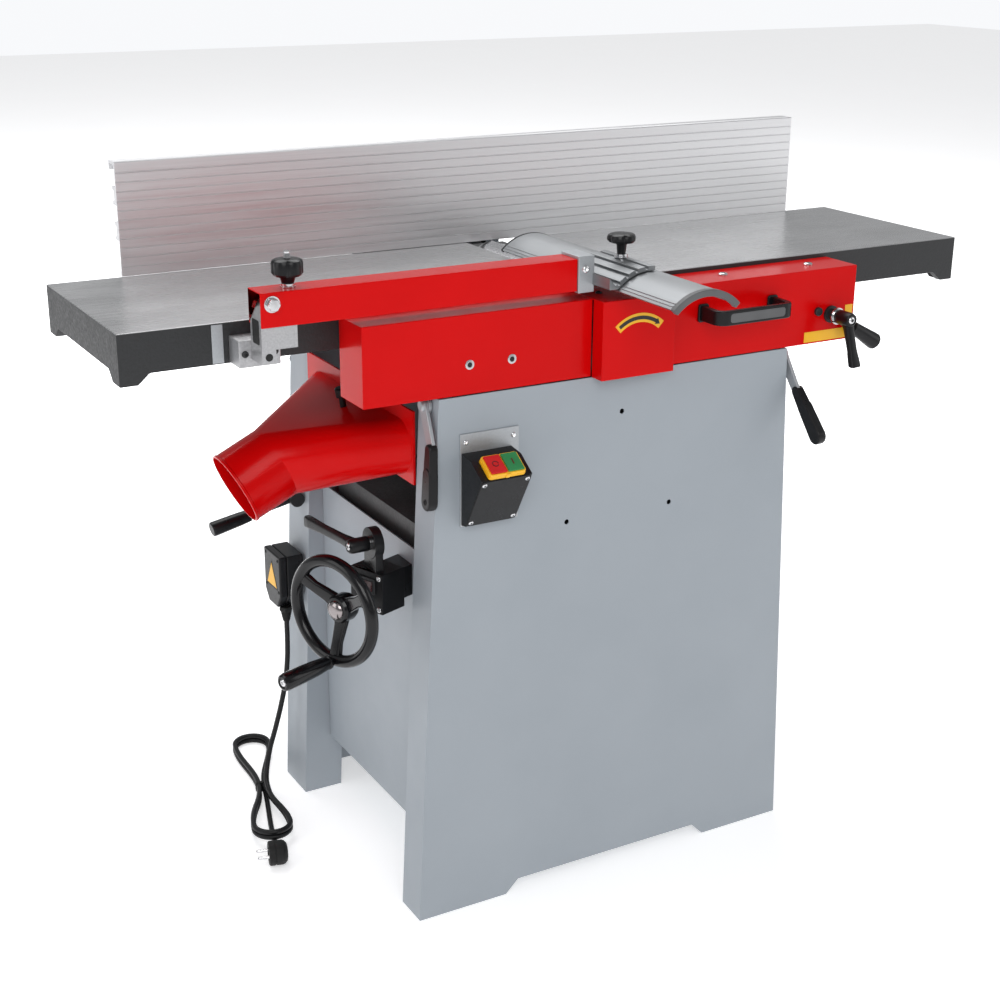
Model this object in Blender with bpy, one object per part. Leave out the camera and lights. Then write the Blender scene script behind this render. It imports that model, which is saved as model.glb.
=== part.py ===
"""Combined surface planer and thicknesser on a sheet-metal cabinet.

Metres, +Z up. X runs along the tables (infeed at +X), Y runs to the back, the floor is z = 0.
The origin is on the floor, under the middle of the tables.
"""

from math import acos, atan, atan2, cos, degrees, pi, radians, sin, sqrt

import bmesh
import bpy
from mathutils import Matrix, Vector

GAP = 0.0003            # clearance between pieces that touch
SHEET = 0.002           # sheet-metal thickness

# Tables
TABLE_TOP = 0.850
TABLE_END = 0.640       # half the length over both tables
TABLE_SIDE = 0.150      # half the table width
TABLE_PLATE = 0.015
APRON_DEPTH = 0.050
FOOT_DEPTH = 0.063
APRON_WALL = 0.012
CUTTER_X = 0.012
CUTTER_Z = 0.815
LIP_GAP = 0.040         # from the cutter axis to each table lip
THIN_ZONE = 0.100       # table length beside the lip that has no apron

# Cabinet
CAB_X = 0.007
CAB_HALF = 0.3052       # half width at the floor
CAB_TAPER = 0.0465      # each side leans in by this much per metre of height
CAB_FRONT = -0.217
CAB_REAR = 0.256
FRONT_FLANGE = 0.054
REAR_FLANGE = 0.0756
REAR_LIP = 0.061
FRONT_TOP = 0.7385
REAR_TOP = 0.745
SIDE_PANEL = 0.259      # side panels stand this far from the cabinet's middle
SIDE_LOW, SIDE_HIGH = 0.091, 0.507

# Red covers
COVER_LOW = 0.740
COVER_BACK = -0.1506
LEFT_COVER_TOP = 0.8415
RIGHT_COVER_TOP = 0.844
COVER_LEFT_END = -0.366
COVER_RIGHT_END = 0.392
BLOCK_X = (-0.0428, 0.0691)
BLOCK_FRONT = -0.2415
BLOCK_Z = (0.7387, 0.8421)

# Head and feed
HEAD_FRONT_Y = (-0.200, -0.160)
HEAD_REAR_Y = (0.158, 0.198)
KNIFE_RADIUS = 0.035
JOURNAL_RADIUS = 0.0125
ROLLER_RADIUS = 0.016
ROLLER_OFFSET = 0.062
ROLLER_Z = 0.797
FINGER_X = CUTTER_X - 0.105
FINGER_Z = 0.800
WORK_WIDTH = 0.300

# Drive
MOTOR_X, MOTOR_Z = 0.135, 0.215
MOTOR_RADIUS = 0.066
MOTOR_PULLEY = 0.038
CUTTER_PULLEY = 0.027
BELT_Y = (0.216, 0.234)
BELT_THICKNESS = 0.008

# Table fold
FOLD_Y, FOLD_Z = 0.235, 0.800
PIN_RADIUS = 0.008

# Fence
FENCE_X = (-0.5405, 0.5577)
FENCE_FACE = 0.148
FENCE_LOW, FENCE_HIGH = 0.851, 0.9985
FENCE_DEPTH = 0.026
TILT_Y, TILT_Z = 0.178, 0.866
BAR_X = -0.095
BAR_REAR = 0.385
BAR_Z = (0.858, 0.880)

# Thicknessing bed and its lift
BED_HALF = (0.240, 0.152)
BED_LOW, BED_HIGH = 0.497, 0.533
POST_Y = 0.090
SCREW_RADIUS = 0.010
SHELF_Z = (0.100, 0.103)
YOKE_Z = (0.380, 0.400)

# Handwheel: its shaft points at the lifting screw in the middle of the machine
WHEEL = Vector((-0.380, -0.143, 0.452))
WHEEL_TURN = radians(20.6)
WHEEL_RING = 0.0685
WHEEL_TUBE = 0.0085
CRANK_LENGTH = 0.085

# Bridge guard
ARM_X = (-0.492, -0.069)
ARM_Y = (-0.220, -0.181)
ARM_Z = (0.8545, 0.8955)
ARM_PIVOT = Vector((-0.478, -0.2, 0.882))
GUARD_X = 0.012
GUARD_Y = (-0.376, 0.030)
GUARD_CAP_Y = (-0.385, -0.3763)
GUARD_HALF = 0.0475
GUARD_FOOT = 0.860
GUARD_RISE = 0.020
GUARD_WALL = 0.003

# Dust chute
PORT_RADIUS = 0.050
PORT_CENTRE = Vector((-0.397, 0.0, 0.615))
PORT_AXIS = Vector((-0.902, 0.0, -0.431))
PORT_LENGTH = 0.064
HOOD_X = -0.2705
HOOD_Y = (-0.158, 0.168)
HOOD_Z = (0.618, 0.692)

# Switch
SWITCH_X = -0.198
SWITCH_HALF = 0.036

# Levers
LOCK_PIVOT_Z = 0.7255
HEIGHT_AXIS = Vector((0.350, 0.0, 0.779))
FEED_PIVOT = Vector((-0.2880, 0.205, 0.482))

# Supply cord
TERMINAL_X = (-0.3235, -0.2845)
TERMINAL_Y = (0.189, 0.250)
TERMINAL_Z = (0.312, 0.397)
CORD_DIAMETER = 0.008
CORD_EXIT = Vector((-0.309, 0.2045, 0.288))
HANK_FAR = Vector((-0.322, 0.350, 0.0))
HANK_NEAR = Vector((-0.392, 0.085, 0.0))
HANK_HALF_WIDTH = 0.031
HANK_HEIGHT = 0.0268
PLUG_RADIUS = 0.018
NECK_HEIGHT = 0.0070


# ---------------------------------------------------------------- helpers

FINISHES = {
    "cabinet_grey": ((0.42, 0.46, 0.50), 0.45, 0.0),
    "red_paint": ((0.75, 0.01, 0.01), 0.25, 0.0),
    "cast_iron": ((0.30, 0.30, 0.31), 0.35, 0.8),
    "aluminium": ((0.75, 0.75, 0.76), 0.35, 1.0),
    "steel": ((0.55, 0.55, 0.56), 0.35, 1.0),
    "zinc_cast": ((0.65, 0.65, 0.65), 0.5, 0.9),
    "black_plastic": ((0.02, 0.02, 0.02), 0.4, 0.0),
    "black_rubber": ((0.015, 0.015, 0.015), 0.7, 0.0),
    "yellow_plastic": ((0.95, 0.70, 0.02), 0.4, 0.0),
    "button_red": ((0.7, 0.02, 0.02), 0.4, 0.0),
    "button_green": ((0.05, 0.45, 0.15), 0.4, 0.0),
    "motor_paint": ((0.12, 0.13, 0.14), 0.5, 0.0),
}


def clear_scene():
    for obj in list(bpy.data.objects):
        bpy.data.objects.remove(obj)


def material(name):
    if name in bpy.data.materials:
        return bpy.data.materials[name]
    colour, roughness, metallic = FINISHES[name]
    made = bpy.data.materials.new(name)
    made.use_nodes = True
    shader = made.node_tree.nodes["Principled BSDF"]
    shader.inputs["Base Color"].default_value = (*colour, 1.0)
    shader.inputs["Roughness"].default_value = roughness
    shader.inputs["Metallic"].default_value = metallic
    return made


def solid(name, bm, finish, pivot=None, matrix=None):
    """Turns a bmesh into an object whose origin is at pivot; matrix moves the shape first."""
    if matrix is not None:
        bmesh.ops.transform(bm, matrix=matrix, verts=bm.verts)
    origin = Vector(pivot) if pivot is not None else Vector((0, 0, 0))
    bmesh.ops.translate(bm, verts=bm.verts, vec=-origin)
    bmesh.ops.recalc_face_normals(bm, faces=bm.faces)
    mesh = bpy.data.meshes.new(name)
    bm.to_mesh(mesh)
    bm.free()
    mesh.shade_smooth()
    mesh.set_sharp_from_angle(angle=radians(35))
    mesh.materials.append(material(finish))
    obj = bpy.data.objects.new(name, mesh)
    obj.location = origin
    bpy.context.scene.collection.objects.link(obj)
    return obj


def box_shape(low, high):
    bm = bmesh.new()
    bmesh.ops.create_cube(bm, size=1.0)
    size = Vector(high) - Vector(low)
    middle = (Vector(high) + Vector(low)) / 2
    bmesh.ops.transform(bm, matrix=Matrix.Translation(middle) @ Matrix.Diagonal((*size, 1)), verts=bm.verts)
    return bm


def prism_shape(outline, axis, low, high):
    """An outline of pairs, (y, z), (x, z) or (x, y), extruded along X, Y or Z."""
    place = {"X": lambda a, b, c: (c, a, b), "Y": lambda a, b, c: (a, c, b),
             "Z": lambda a, b, c: (a, b, c)}[axis]
    bm = bmesh.new()
    rings = [[bm.verts.new(place(a, b, end)) for a, b in outline] for end in (low, high)]
    for index in range(len(outline)):
        after = (index + 1) % len(outline)
        bm.faces.new((rings[0][index], rings[0][after], rings[1][after], rings[1][index]))
    bm.faces.new(rings[0])
    bm.faces.new(rings[1])
    return bm


def turned_shape(profile, base, direction, steps=24, closed=False):
    """Turns (distance, radius) pairs about a line. A closed profile makes a ring, else the ends are capped."""
    along = Vector(direction).normalized()
    side = along.orthogonal().normalized()
    up = along.cross(side)
    bm = bmesh.new()
    rings = []
    for distance, radius in profile:
        centre = Vector(base) + along * distance
        spokes = [side * cos(2 * pi * k / steps) + up * sin(2 * pi * k / steps) for k in range(steps)]
        rings.append([bm.verts.new(centre + spoke * radius) for spoke in spokes])
    pairs = list(zip(rings, rings[1:]))
    if closed:
        pairs.append((rings[-1], rings[0]))
    else:
        bm.faces.new(rings[0])
        bm.faces.new(rings[-1])
    for ring, following in pairs:
        for k in range(steps):
            after = (k + 1) % steps
            bm.faces.new((ring[k], ring[after], following[after], following[k]))
    return bm


def loft_shape(rings, closed=False):
    """Bridges rings of equal length; a closed loft joins the last ring to the first."""
    bm = bmesh.new()
    loops = [[bm.verts.new(point) for point in ring] for ring in rings]
    pairs = list(zip(loops, loops[1:]))
    if closed:
        pairs.append((loops[-1], loops[0]))
    else:
        bm.faces.new(loops[0])
        bm.faces.new(loops[-1])
    for ring, following in pairs:
        for k in range(len(ring)):
            after = (k + 1) % len(ring)
            bm.faces.new((ring[k], ring[after], following[after], following[k]))
    return bm


def box(name, low, high, finish, pivot=None):
    return solid(name, box_shape(low, high), finish, pivot)


def prism(name, outline, axis, low, high, finish, pivot=None):
    return solid(name, prism_shape(outline, axis, low, high), finish, pivot)


def turned(name, profile, base, direction, finish, pivot=None, steps=24, closed=False):
    return solid(name, turned_shape(profile, base, direction, steps, closed), finish, pivot)


def rod(name, start, end, radius, finish, pivot=None, steps=16):
    start, end = Vector(start), Vector(end)
    length = (end - start).length
    return turned(name, [(0, radius), (length, radius)], start, end - start, finish, pivot, steps)


def ring(name, inner, outer, low, high, centre, direction, finish, pivot=None, steps=24):
    profile = [(low, outer), (high, outer), (high, inner), (low, inner)]
    return turned(name, profile, centre, direction, finish, pivot, steps, closed=True)


def combine(target, others, operation):
    for other in others:
        other.hide_render = True
        other.display_type = "WIRE"
        step = target.modifiers.new(f"{operation.lower()}_{other.name}"[:60], "BOOLEAN")
        step.operation = operation
        step.object = other
    return target


def cut(target, *cutters):
    return combine(target, cutters, "DIFFERENCE")


def weld(target, *others):
    return combine(target, others, "UNION")


def offset_path(points, distance):
    """Moves an open path sideways by distance, to its left when positive, with mitred corners."""
    moved = []
    for index, point in enumerate(points):
        directions = []
        if index > 0:
            directions.append((point - points[index - 1]).normalized())
        if index < len(points) - 1:
            directions.append((points[index + 1] - point).normalized())
        normals = [Vector((-d.y, d.x)) for d in directions]
        mitre = sum(normals, Vector((0, 0))).normalized()
        moved.append(point + mitre * distance / mitre.dot(normals[0]))
    return moved


def folded_sheet(name, path_at, low, high, thickness, finish):
    """Upright sheet metal folded along a plan path that changes evenly with height."""
    bm = bmesh.new()
    levels = []
    for height in (low, high):
        outer = [Vector(p) for p in path_at(height)]
        inner = offset_path(outer, thickness)
        levels.append([[bm.verts.new((p.x, p.y, height)) for p in side] for side in (outer, inner)])
    count = len(levels[0][0])
    for index in range(count - 1):
        for side in (0, 1):
            a, b = levels[0][side], levels[1][side]
            bm.faces.new((a[index], a[index + 1], b[index + 1], b[index]))
        for outer, inner in levels:
            bm.faces.new((outer[index], outer[index + 1], inner[index + 1], inner[index]))
    for index in (0, count - 1):
        (a, b), (c, d) = levels
        bm.faces.new((a[index], b[index], d[index], c[index]))
    return solid(name, bm, finish)


def arc(centre, radius, start, end, steps):
    """Points on a circular arc, as pairs; the angles are in degrees."""
    return [
        (centre[0] + radius * cos(radians(start + (end - start) * k / steps)),
         centre[1] + radius * sin(radians(start + (end - start) * k / steps)))
        for k in range(steps + 1)
    ]


def side_x(side, z):
    """Outer face of the cabinet's left (-1) or right (+1) side at height z."""
    return CAB_X + side * (CAB_HALF - CAB_TAPER * z)


# ---------------------------------------------------------------- cabinet

def foot_plate(name, side, front):
    """A small plate inside a bottom corner, welded to its panel, which stands on the floor."""
    x = side_x(side, 0.0) - side * 0.0005
    y = CAB_FRONT + 0.0005 if front else CAB_REAR - 0.0005
    inward = -side * 0.055
    depth = 0.048 if front else -0.070
    low = (min(x, x + inward), min(y, y + depth), 0.0)
    high = (max(x, x + inward), max(y, y + depth), 0.004)
    return box(name, low, high, "cabinet_grey")


def front_panel():
    def path(z):
        left, right = side_x(-1, z), side_x(1, z)
        inner = CAB_FRONT + FRONT_FLANGE
        return [(left, inner), (left, CAB_FRONT), (right, CAB_FRONT), (right, inner)]

    panel = folded_sheet("front_panel", path, 0.0, FRONT_TOP, SHEET, "cabinet_grey")
    weld(panel, foot_plate("front_foot_left", -1, True), foot_plate("front_foot_right", 1, True))
    cut(panel, toe_notch("front_notch", CAB_FRONT))
    for index, (x, z) in enumerate(((CAB_X, 0.686), (CAB_X - 0.082, 0.545), (CAB_X + 0.082, 0.545))):
        start, end = (x, CAB_FRONT - 0.01, z), (x, CAB_FRONT + 0.01, z)
        hole = rod(f"front_hole_{index}", start, end, 0.0035, "steel", steps=12)
        cut(panel, hole)


def toe_notch(name, y):
    outline = [(CAB_X - 0.1695, -0.01), (CAB_X + 0.1695, -0.01), (CAB_X + 0.1695, 0.0),
               (CAB_X + 0.150, 0.0195), (CAB_X - 0.150, 0.0195), (CAB_X - 0.1695, 0.0)]
    return prism(name, outline, "Y", y - 0.02, y + 0.02, "steel")


def rear_panel():
    def path(z):
        left, right = side_x(-1, z), side_x(1, z)
        inner = CAB_REAR - REAR_FLANGE
        return [(right - REAR_LIP, inner), (right, inner), (right, CAB_REAR),
                (left, CAB_REAR), (left, inner), (left + REAR_LIP, inner)]

    panel = folded_sheet("rear_panel", path, 0.0, REAR_TOP, SHEET, "cabinet_grey")
    weld(panel, foot_plate("rear_foot_left", -1, False), foot_plate("rear_foot_right", 1, False))
    low, high = (-0.054, CAB_REAR - SHEET, REAR_TOP - 0.02), (0.085, CAB_REAR, 0.858)
    tongue = box("rear_tongue", low, high, "cabinet_grey")
    weld(panel, tongue)
    cut(panel, toe_notch("rear_notch", CAB_REAR))


def side_panels():
    back = CAB_REAR - REAR_FLANGE - 2 * GAP
    for name, side in (("left_panel", -1), ("right_panel", 1)):
        near, far = sorted((CAB_X + side * SIDE_PANEL, CAB_X + side * (SIDE_PANEL + SHEET)))
        panel = box(name, (near, CAB_FRONT + SHEET + GAP, SIDE_LOW), (far, back, SIDE_HIGH), "cabinet_grey")
        if side < 0:
            cut(panel, rod("shaft_hole", on_shaft(0.110), on_shaft(0.160), 0.0085, "steel"))


def base_shelf():
    """Shelf between the panels with the lift's column and yoke, bored for the screw and the guide posts."""
    half = SIDE_PANEL - GAP
    shelf = box("base_shelf", (CAB_X - half, CAB_FRONT + SHEET + GAP, SHELF_Z[0]),
                (CAB_X + half, CAB_REAR - REAR_FLANGE - 2 * GAP, SHELF_Z[1]), "cabinet_grey")
    foot, top = (0, 0, SHELF_Z[0] + 0.001), (0, 0, YOKE_Z[0] + 0.005)
    column = rod("lift_column", foot, top, 0.035, "cast_iron", steps=20)
    yoke = box("lift_yoke", (-0.030, -0.120, YOKE_Z[0]), (0.030, 0.120, YOKE_Z[1]), "cast_iron")
    weld(shelf, column, yoke)
    cut(shelf, rod("screw_bore", (0, 0, SHELF_Z[1] + 0.01), (0, 0, 0.45), 0.013, "steel"))
    for side in (-1, 1):
        bore = rod(f"post_bore_{side}", (0, side * POST_Y, 0.35), (0, side * POST_Y, 0.45), 0.0113, "steel")
        cut(shelf, bore)


# ---------------------------------------------------------------- head, feed and drive

def head_plates():
    outline = [(-0.112, 0.640), (0.094, 0.640), (0.094, 0.814), (0.066, 0.814), (0.060, 0.836),
               (-0.036, 0.836), (-0.042, 0.814), (-0.112, 0.814)]
    for name, (low, high) in (("head_plate_front", HEAD_FRONT_Y), ("head_plate_rear", HEAD_REAR_Y)):
        plate = prism(name, outline, "Y", low, high, "cast_iron")
        reach = (CAB_FRONT + SHEET + GAP, low + 0.001) if low < 0 else (high - 0.001, CAB_REAR - SHEET - GAP)
        pad = box(f"{name}_pad", (-0.112, reach[0], 0.640), (-0.065, reach[1], 0.700), "cast_iron")
        weld(plate, pad)
        cut(plate, rod(f"{name}_bore", (CUTTER_X, low - 0.01, CUTTER_Z), (CUTTER_X, high + 0.01, CUTTER_Z),
                       JOURNAL_RADIUS + GAP, "steel", steps=20))
        for index, x in enumerate((CUTTER_X - ROLLER_OFFSET, CUTTER_X + ROLLER_OFFSET)):
            cut(plate, rod(f"{name}_roller_bore_{index}", (x, low - 0.01, ROLLER_Z), (x, high + 0.01, ROLLER_Z),
                           0.008 + GAP, "steel"))
        cut(plate, rod(f"{name}_finger_bore", (FINGER_X, low - 0.01, FINGER_Z), (FINGER_X, high + 0.01, FINGER_Z),
                       0.006 + GAP, "steel"))


def cutter_block():
    """Round block with three knives, each in front of its chip gullet, turned out of one bar with its journals."""
    outline = []
    for knife in range(3):
        start = 90 - 120 * knife
        tip = (CUTTER_X + KNIFE_RADIUS * cos(radians(start)), CUTTER_Z + KNIFE_RADIUS * sin(radians(start)))
        root = arc((CUTTER_X, CUTTER_Z), KNIFE_RADIUS - 0.009, start - 4, start - 14, 1)
        body = arc((CUTTER_X, CUTTER_Z), KNIFE_RADIUS - 0.0015, start - 24, start - 116, 8)
        outline += [tip] + root + body
    axis = Vector((CUTTER_X, 0, CUTTER_Z))
    block = prism("cutter_block", outline, "Y", -WORK_WIDTH / 2, WORK_WIDTH / 2, "steel", axis)
    weld(block, rod("cutter_journals", (CUTTER_X, HEAD_FRONT_Y[0], CUTTER_Z), (CUTTER_X, 0.240, CUTTER_Z),
                    JOURNAL_RADIUS, "steel", steps=20))
    ring("cutter_pulley", JOURNAL_RADIUS + GAP, CUTTER_PULLEY, BELT_Y[0] - 0.002, BELT_Y[1] + 0.002,
         axis, (0, 1, 0), "steel", axis)


def feed_rollers():
    for name, x in (("infeed_roller", CUTTER_X - ROLLER_OFFSET), ("outfeed_roller", CUTTER_X + ROLLER_OFFSET)):
        half = WORK_WIDTH / 2
        profile = [(-0.185, 0.008), (-half, 0.008), (-half, ROLLER_RADIUS),
                   (half, ROLLER_RADIUS), (half, 0.008), (0.185, 0.008)]
        turned(name, profile, (x, 0, ROLLER_Z), (0, 1, 0), "steel", (x, 0, ROLLER_Z))


def kickback_fingers():
    """A comb of anti-kickback fingers on their own shaft."""
    outline = [(-0.150, FINGER_Z + 0.008)]
    pitch, count = 0.020, 15
    for index in range(count):
        left = -0.150 + index * pitch
        outline += [(left, FINGER_Z - 0.045), (left + 0.012, FINGER_Z - 0.045)]
        if index < count - 1:
            outline += [(left + 0.012, FINGER_Z - 0.008), (left + pitch, FINGER_Z - 0.008)]
    outline.append((outline[-1][0], FINGER_Z + 0.008))
    pivot = (FINGER_X, 0, FINGER_Z)
    comb = prism("kickback_fingers", outline, "X", FINGER_X - 0.005, FINGER_X + 0.005, "steel", pivot)
    weld(comb, rod("finger_shaft", (FINGER_X, -0.185, FINGER_Z), (FINGER_X, 0.185, FINGER_Z), 0.006, "steel"))


def motor():
    axis = Vector((MOTOR_X, 0, MOTOR_Z))
    profile = [(-0.150, 0.030), (-0.140, 0.055), (-0.120, MOTOR_RADIUS), (0.080, MOTOR_RADIUS),
               (0.100, 0.050), (0.110, 0.030)]
    body = turned("motor", profile, axis, (0, 1, 0), "motor_paint")
    low, high = (MOTOR_X - 0.055, -0.100, SHELF_Z[1] + GAP), (MOTOR_X + 0.055, 0.050, MOTOR_Z - 0.03)
    weld(body, box("motor_foot", low, high,
                   "motor_paint"))
    pulley = [(0.110 + GAP, 0.009), (BELT_Y[0] - 0.002, 0.009), (BELT_Y[0] - 0.002, MOTOR_PULLEY),
              (BELT_Y[1] + 0.002, MOTOR_PULLEY), (BELT_Y[1] + 0.002, 0.009), (0.245, 0.009)]
    turned("motor_pulley", pulley, axis, (0, 1, 0), "steel", axis)


def drive_belt():
    """Belt loop: two arcs round the pulleys joined by their outer tangents."""
    big, small = MOTOR_PULLEY + GAP, CUTTER_PULLEY + GAP
    dx, dz = CUTTER_X - MOTOR_X, CUTTER_Z - MOTOR_Z
    lean = atan2(dz, dx)
    spread = acos((big - small) / sqrt(dx * dx + dz * dz))

    def loop(extra):
        first, last = lean + spread, lean - spread
        steps = 14
        points = []
        for k in range(steps + 1):
            angle = first + (2 * pi - 2 * spread) * k / steps
            points.append((MOTOR_X + (big + extra) * cos(angle), MOTOR_Z + (big + extra) * sin(angle)))
        for k in range(steps + 1):
            angle = last + 2 * spread * k / steps
            points.append((CUTTER_X + (small + extra) * cos(angle), CUTTER_Z + (small + extra) * sin(angle)))
        return points

    inner, outer = loop(0.0), loop(BELT_THICKNESS)
    rings = [[(x, y, z) for x, z in side] for side, y in
             ((outer, BELT_Y[0]), (outer, BELT_Y[1]), (inner, BELT_Y[1]), (inner, BELT_Y[0]))]
    solid("drive_belt", loft_shape(rings, closed=True), "black_rubber")


# ---------------------------------------------------------------- tables

def table(name, side, pivot):
    """A ribbed cast table: side is -1 for the outfeed table and +1 for the infeed table."""
    lip = CUTTER_X + side * LIP_GAP
    end = side * TABLE_END
    plate = TABLE_TOP - TABLE_PLATE
    apron = TABLE_TOP - APRON_DEPTH
    foot = TABLE_TOP - FOOT_DEPTH
    thin = lip + side * THIN_ZONE
    outline = [(end, TABLE_TOP), (lip, TABLE_TOP), (lip, TABLE_TOP - 0.004), (lip + side * 0.010, plate),
               (thin, plate), (thin + side * 0.012, apron), (end - side * 0.037, apron),
               (end - side * 0.022, foot), (end, foot)]
    top = prism(name, outline, "Y", -TABLE_SIDE, TABLE_SIDE, "cast_iron", pivot)
    inside = TABLE_SIDE - APRON_WALL
    first = thin + side * 0.020
    bays, rib = 4, 0.008
    pitch = (end - side * 0.015 - first) / bays
    for bay in range(bays):
        for half in (-1, 1):
            x = sorted((first + pitch * bay + side * rib / 2, first + pitch * (bay + 1) - side * rib / 2))
            y = sorted((half * rib / 2, half * inside))
            cut(top, box(f"{name}_bay_{bay}_{half}", (x[0], y[0], foot - 0.01), (x[1], y[1], plate), "steel"))
    arch = [(-0.122, foot - 0.01), (0.122, foot - 0.01), (0.122, foot), (0.108, apron), (-0.108, apron),
            (-0.122, foot)]
    reach = sorted((end + side * 0.01, end - side * 0.040))
    cut(top, prism(f"{name}_end_arch", arch, "X", reach[0], reach[1], "steel"))
    return top


def fold_point():
    return (0, FOLD_Y, FOLD_Z)


def table_carriers():
    """Arms under the tables that swing on the rear fold pins."""
    for name, side, low, high in (("table_carrier_left", -1, -0.245, -0.150),
                                  ("table_carrier_right", 1, 0.160, 0.255)):
        top = TABLE_TOP - APRON_DEPTH - (GAP if side < 0 else 0.004)
        outline = [(-0.140, top - 0.020), (0.150, top - 0.024), (0.195, top - 0.034)]
        outline += arc((FOLD_Y, FOLD_Z), 0.020, 225, 450, 10)
        outline += [(0.165, FOLD_Z + 0.018), (0.160, top), (-0.140, top)]
        arm = prism(name, outline, "X", low, high, "cast_iron", fold_point())
        cut(arm, rod(f"{name}_bore", (low - 0.01, FOLD_Y, FOLD_Z), (high + 0.01, FOLD_Y, FOLD_Z),
                     PIN_RADIUS + GAP, "steel"))
        cut(arm, box(f"{name}_slot", (low + 0.025, FOLD_Y - 0.030, FOLD_Z - 0.05),
                     (high - 0.025, FOLD_Y + 0.05, FOLD_Z + 0.05), "steel"))
        lug_low, lug_high = low + 0.026, high - 0.026
        pin = rod(f"fold_pin_{'left' if side < 0 else 'right'}", (low - 0.006, FOLD_Y, FOLD_Z),
                  (high + 0.006, FOLD_Y, FOLD_Z), PIN_RADIUS, "steel")
        lug = prism(f"{name}_lug", [(0.2185, 0.700), (CAB_REAR - SHEET - GAP, 0.700), (CAB_REAR - SHEET - GAP, 0.800)]
                    + arc((FOLD_Y, FOLD_Z), 0.0165, 0, 180, 6), "X", lug_low, lug_high, "steel")
        weld(pin, lug)


def cover(name, x, top, outer_end):
    """Folded red cover with a front, a top and one end."""
    low = (x[0], CAB_FRONT, COVER_LOW)
    shell = box(name, low, (x[1], COVER_BACK, top), "red_paint", fold_point())
    inside = [x[0] - 0.01, x[1] + 0.01]
    inside[0 if outer_end < 0 else 1] = (x[0] + SHEET) if outer_end < 0 else (x[1] - SHEET)
    cut(shell, box(f"{name}_inside", (inside[0], CAB_FRONT + SHEET, COVER_LOW - 0.01),
                   (inside[1], COVER_BACK + 0.01, top - SHEET), "steel"))
    return shell


def covers():
    left = (COVER_LEFT_END, BLOCK_X[0] - 2 * GAP)
    right = (BLOCK_X[1] + 2 * GAP, COVER_RIGHT_END)
    cover("left_cover", left, LEFT_COVER_TOP, -1)
    shell = cover("right_cover", right, RIGHT_COVER_TOP, 1)
    cut(shell, rod("height_axis_hole", (HEIGHT_AXIS.x, CAB_FRONT - 0.01, HEIGHT_AXIS.z),
                   (HEIGHT_AXIS.x, CAB_FRONT + 0.01, HEIGHT_AXIS.z), 0.0075, "steel"))
    low, high = (BLOCK_X[0], BLOCK_FRONT, BLOCK_Z[0]), (BLOCK_X[1], -0.152, BLOCK_Z[1])
    block = box("centre_cover", low, high, "red_paint")
    cut(block, box("centre_inside", (BLOCK_X[0] + SHEET, BLOCK_FRONT + SHEET, BLOCK_Z[0] - 0.01),
                   (BLOCK_X[1] - SHEET, -0.14, BLOCK_Z[1] - SHEET), "steel"))
    cut(block, box("centre_side_relief", (BLOCK_X[0] - 0.01, -0.2175, BLOCK_Z[0] - 0.01),
                   (BLOCK_X[1] + 0.01, -0.14, BLOCK_Z[1] - SHEET), "steel"))


def grab_handle():
    """A flat bar bent into a bracket handle on the right cover."""
    left, right = 0.124, 0.250
    low, high = 0.798, 0.812
    front, back = CAB_FRONT - 0.046, CAB_FRONT - GAP
    bar, bend = 0.010, 0.012
    outer = [(left, back)] + arc((left + bend, front + bend), bend, 180, 270, 4)
    outer += arc((right - bend, front + bend), bend, 270, 360, 4) + [(right, back)]
    inner = [(right - bar, back), (right - bar, front + bar + 0.003), (right - bar - 0.003, front + bar),
             (left + bar + 0.003, front + bar), (left + bar, front + bar + 0.003), (left + bar, back)]
    prism("grab_handle", outer + inner, "Z", low, high, "black_plastic", fold_point())


# ---------------------------------------------------------------- fence

def fence():
    """Extruded fence: a face plate with a top flange, a foot and two rails behind."""
    face, low, high = FENCE_FACE, FENCE_LOW, FENCE_HIGH
    web = face + 0.004
    back = face + FENCE_DEPTH
    rails = []
    for middle in (low + 0.104, low + 0.058):
        rails += [(web, middle + 0.012), (back - 0.008, middle + 0.012), (back - 0.008, middle + 0.007),
                  (back - 0.014, middle + 0.007), (back - 0.014, middle - 0.007), (back - 0.008, middle - 0.007),
                  (back - 0.008, middle - 0.012), (web, middle - 0.012)]
    outline = [(face, low), (face, high), (back, high), (back, high - 0.012), (back - 0.003, high - 0.012),
               (back - 0.003, high - 0.004), (web, high - 0.004)]
    outline += rails + [(web, low + 0.006), (face + 0.008, low + 0.006), (face + 0.008, low)]
    profile = prism("fence", outline, "X", FENCE_X[0], FENCE_X[1], "aluminium", (0, TILT_Y, TILT_Z))
    weld(profile, box("fence_plate", (BAR_X - 0.045, back - 0.0085, 0.888), (BAR_X + 0.045, back, 0.975), "steel"))


def fence_support():
    """Bracket on the table, and the sliding bar with its clevis."""
    outline = [(TABLE_SIDE + GAP, 0.820), (0.215, 0.820), (0.242, 0.847), (0.242, 0.900), (0.217, 0.900),
               (0.200, 0.884), (0.200, 0.848), (TABLE_SIDE + GAP, 0.848)]
    bracket = prism("fence_bracket", outline, "X", BAR_X - 0.080, BAR_X + 0.034, "cast_iron", fold_point())
    half = 0.015
    low, high = (BAR_X - half - GAP, 0.15, BAR_Z[0] - GAP), (BAR_X + half + GAP, 0.26, BAR_Z[1] + GAP)
    cut(bracket, box("bar_way", low, high, "steel"))
    bar = box("fence_bar", (BAR_X - half, TILT_Y, BAR_Z[0]), (BAR_X + half, BAR_REAR, BAR_Z[1]), "steel")
    weld(bar, rod("fence_barrel", (BAR_X - 0.030, TILT_Y + 0.004, BAR_Z[0] + 0.009),
                  (BAR_X + 0.030, TILT_Y + 0.004, BAR_Z[0] + 0.009), 0.0075, "steel"))


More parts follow.
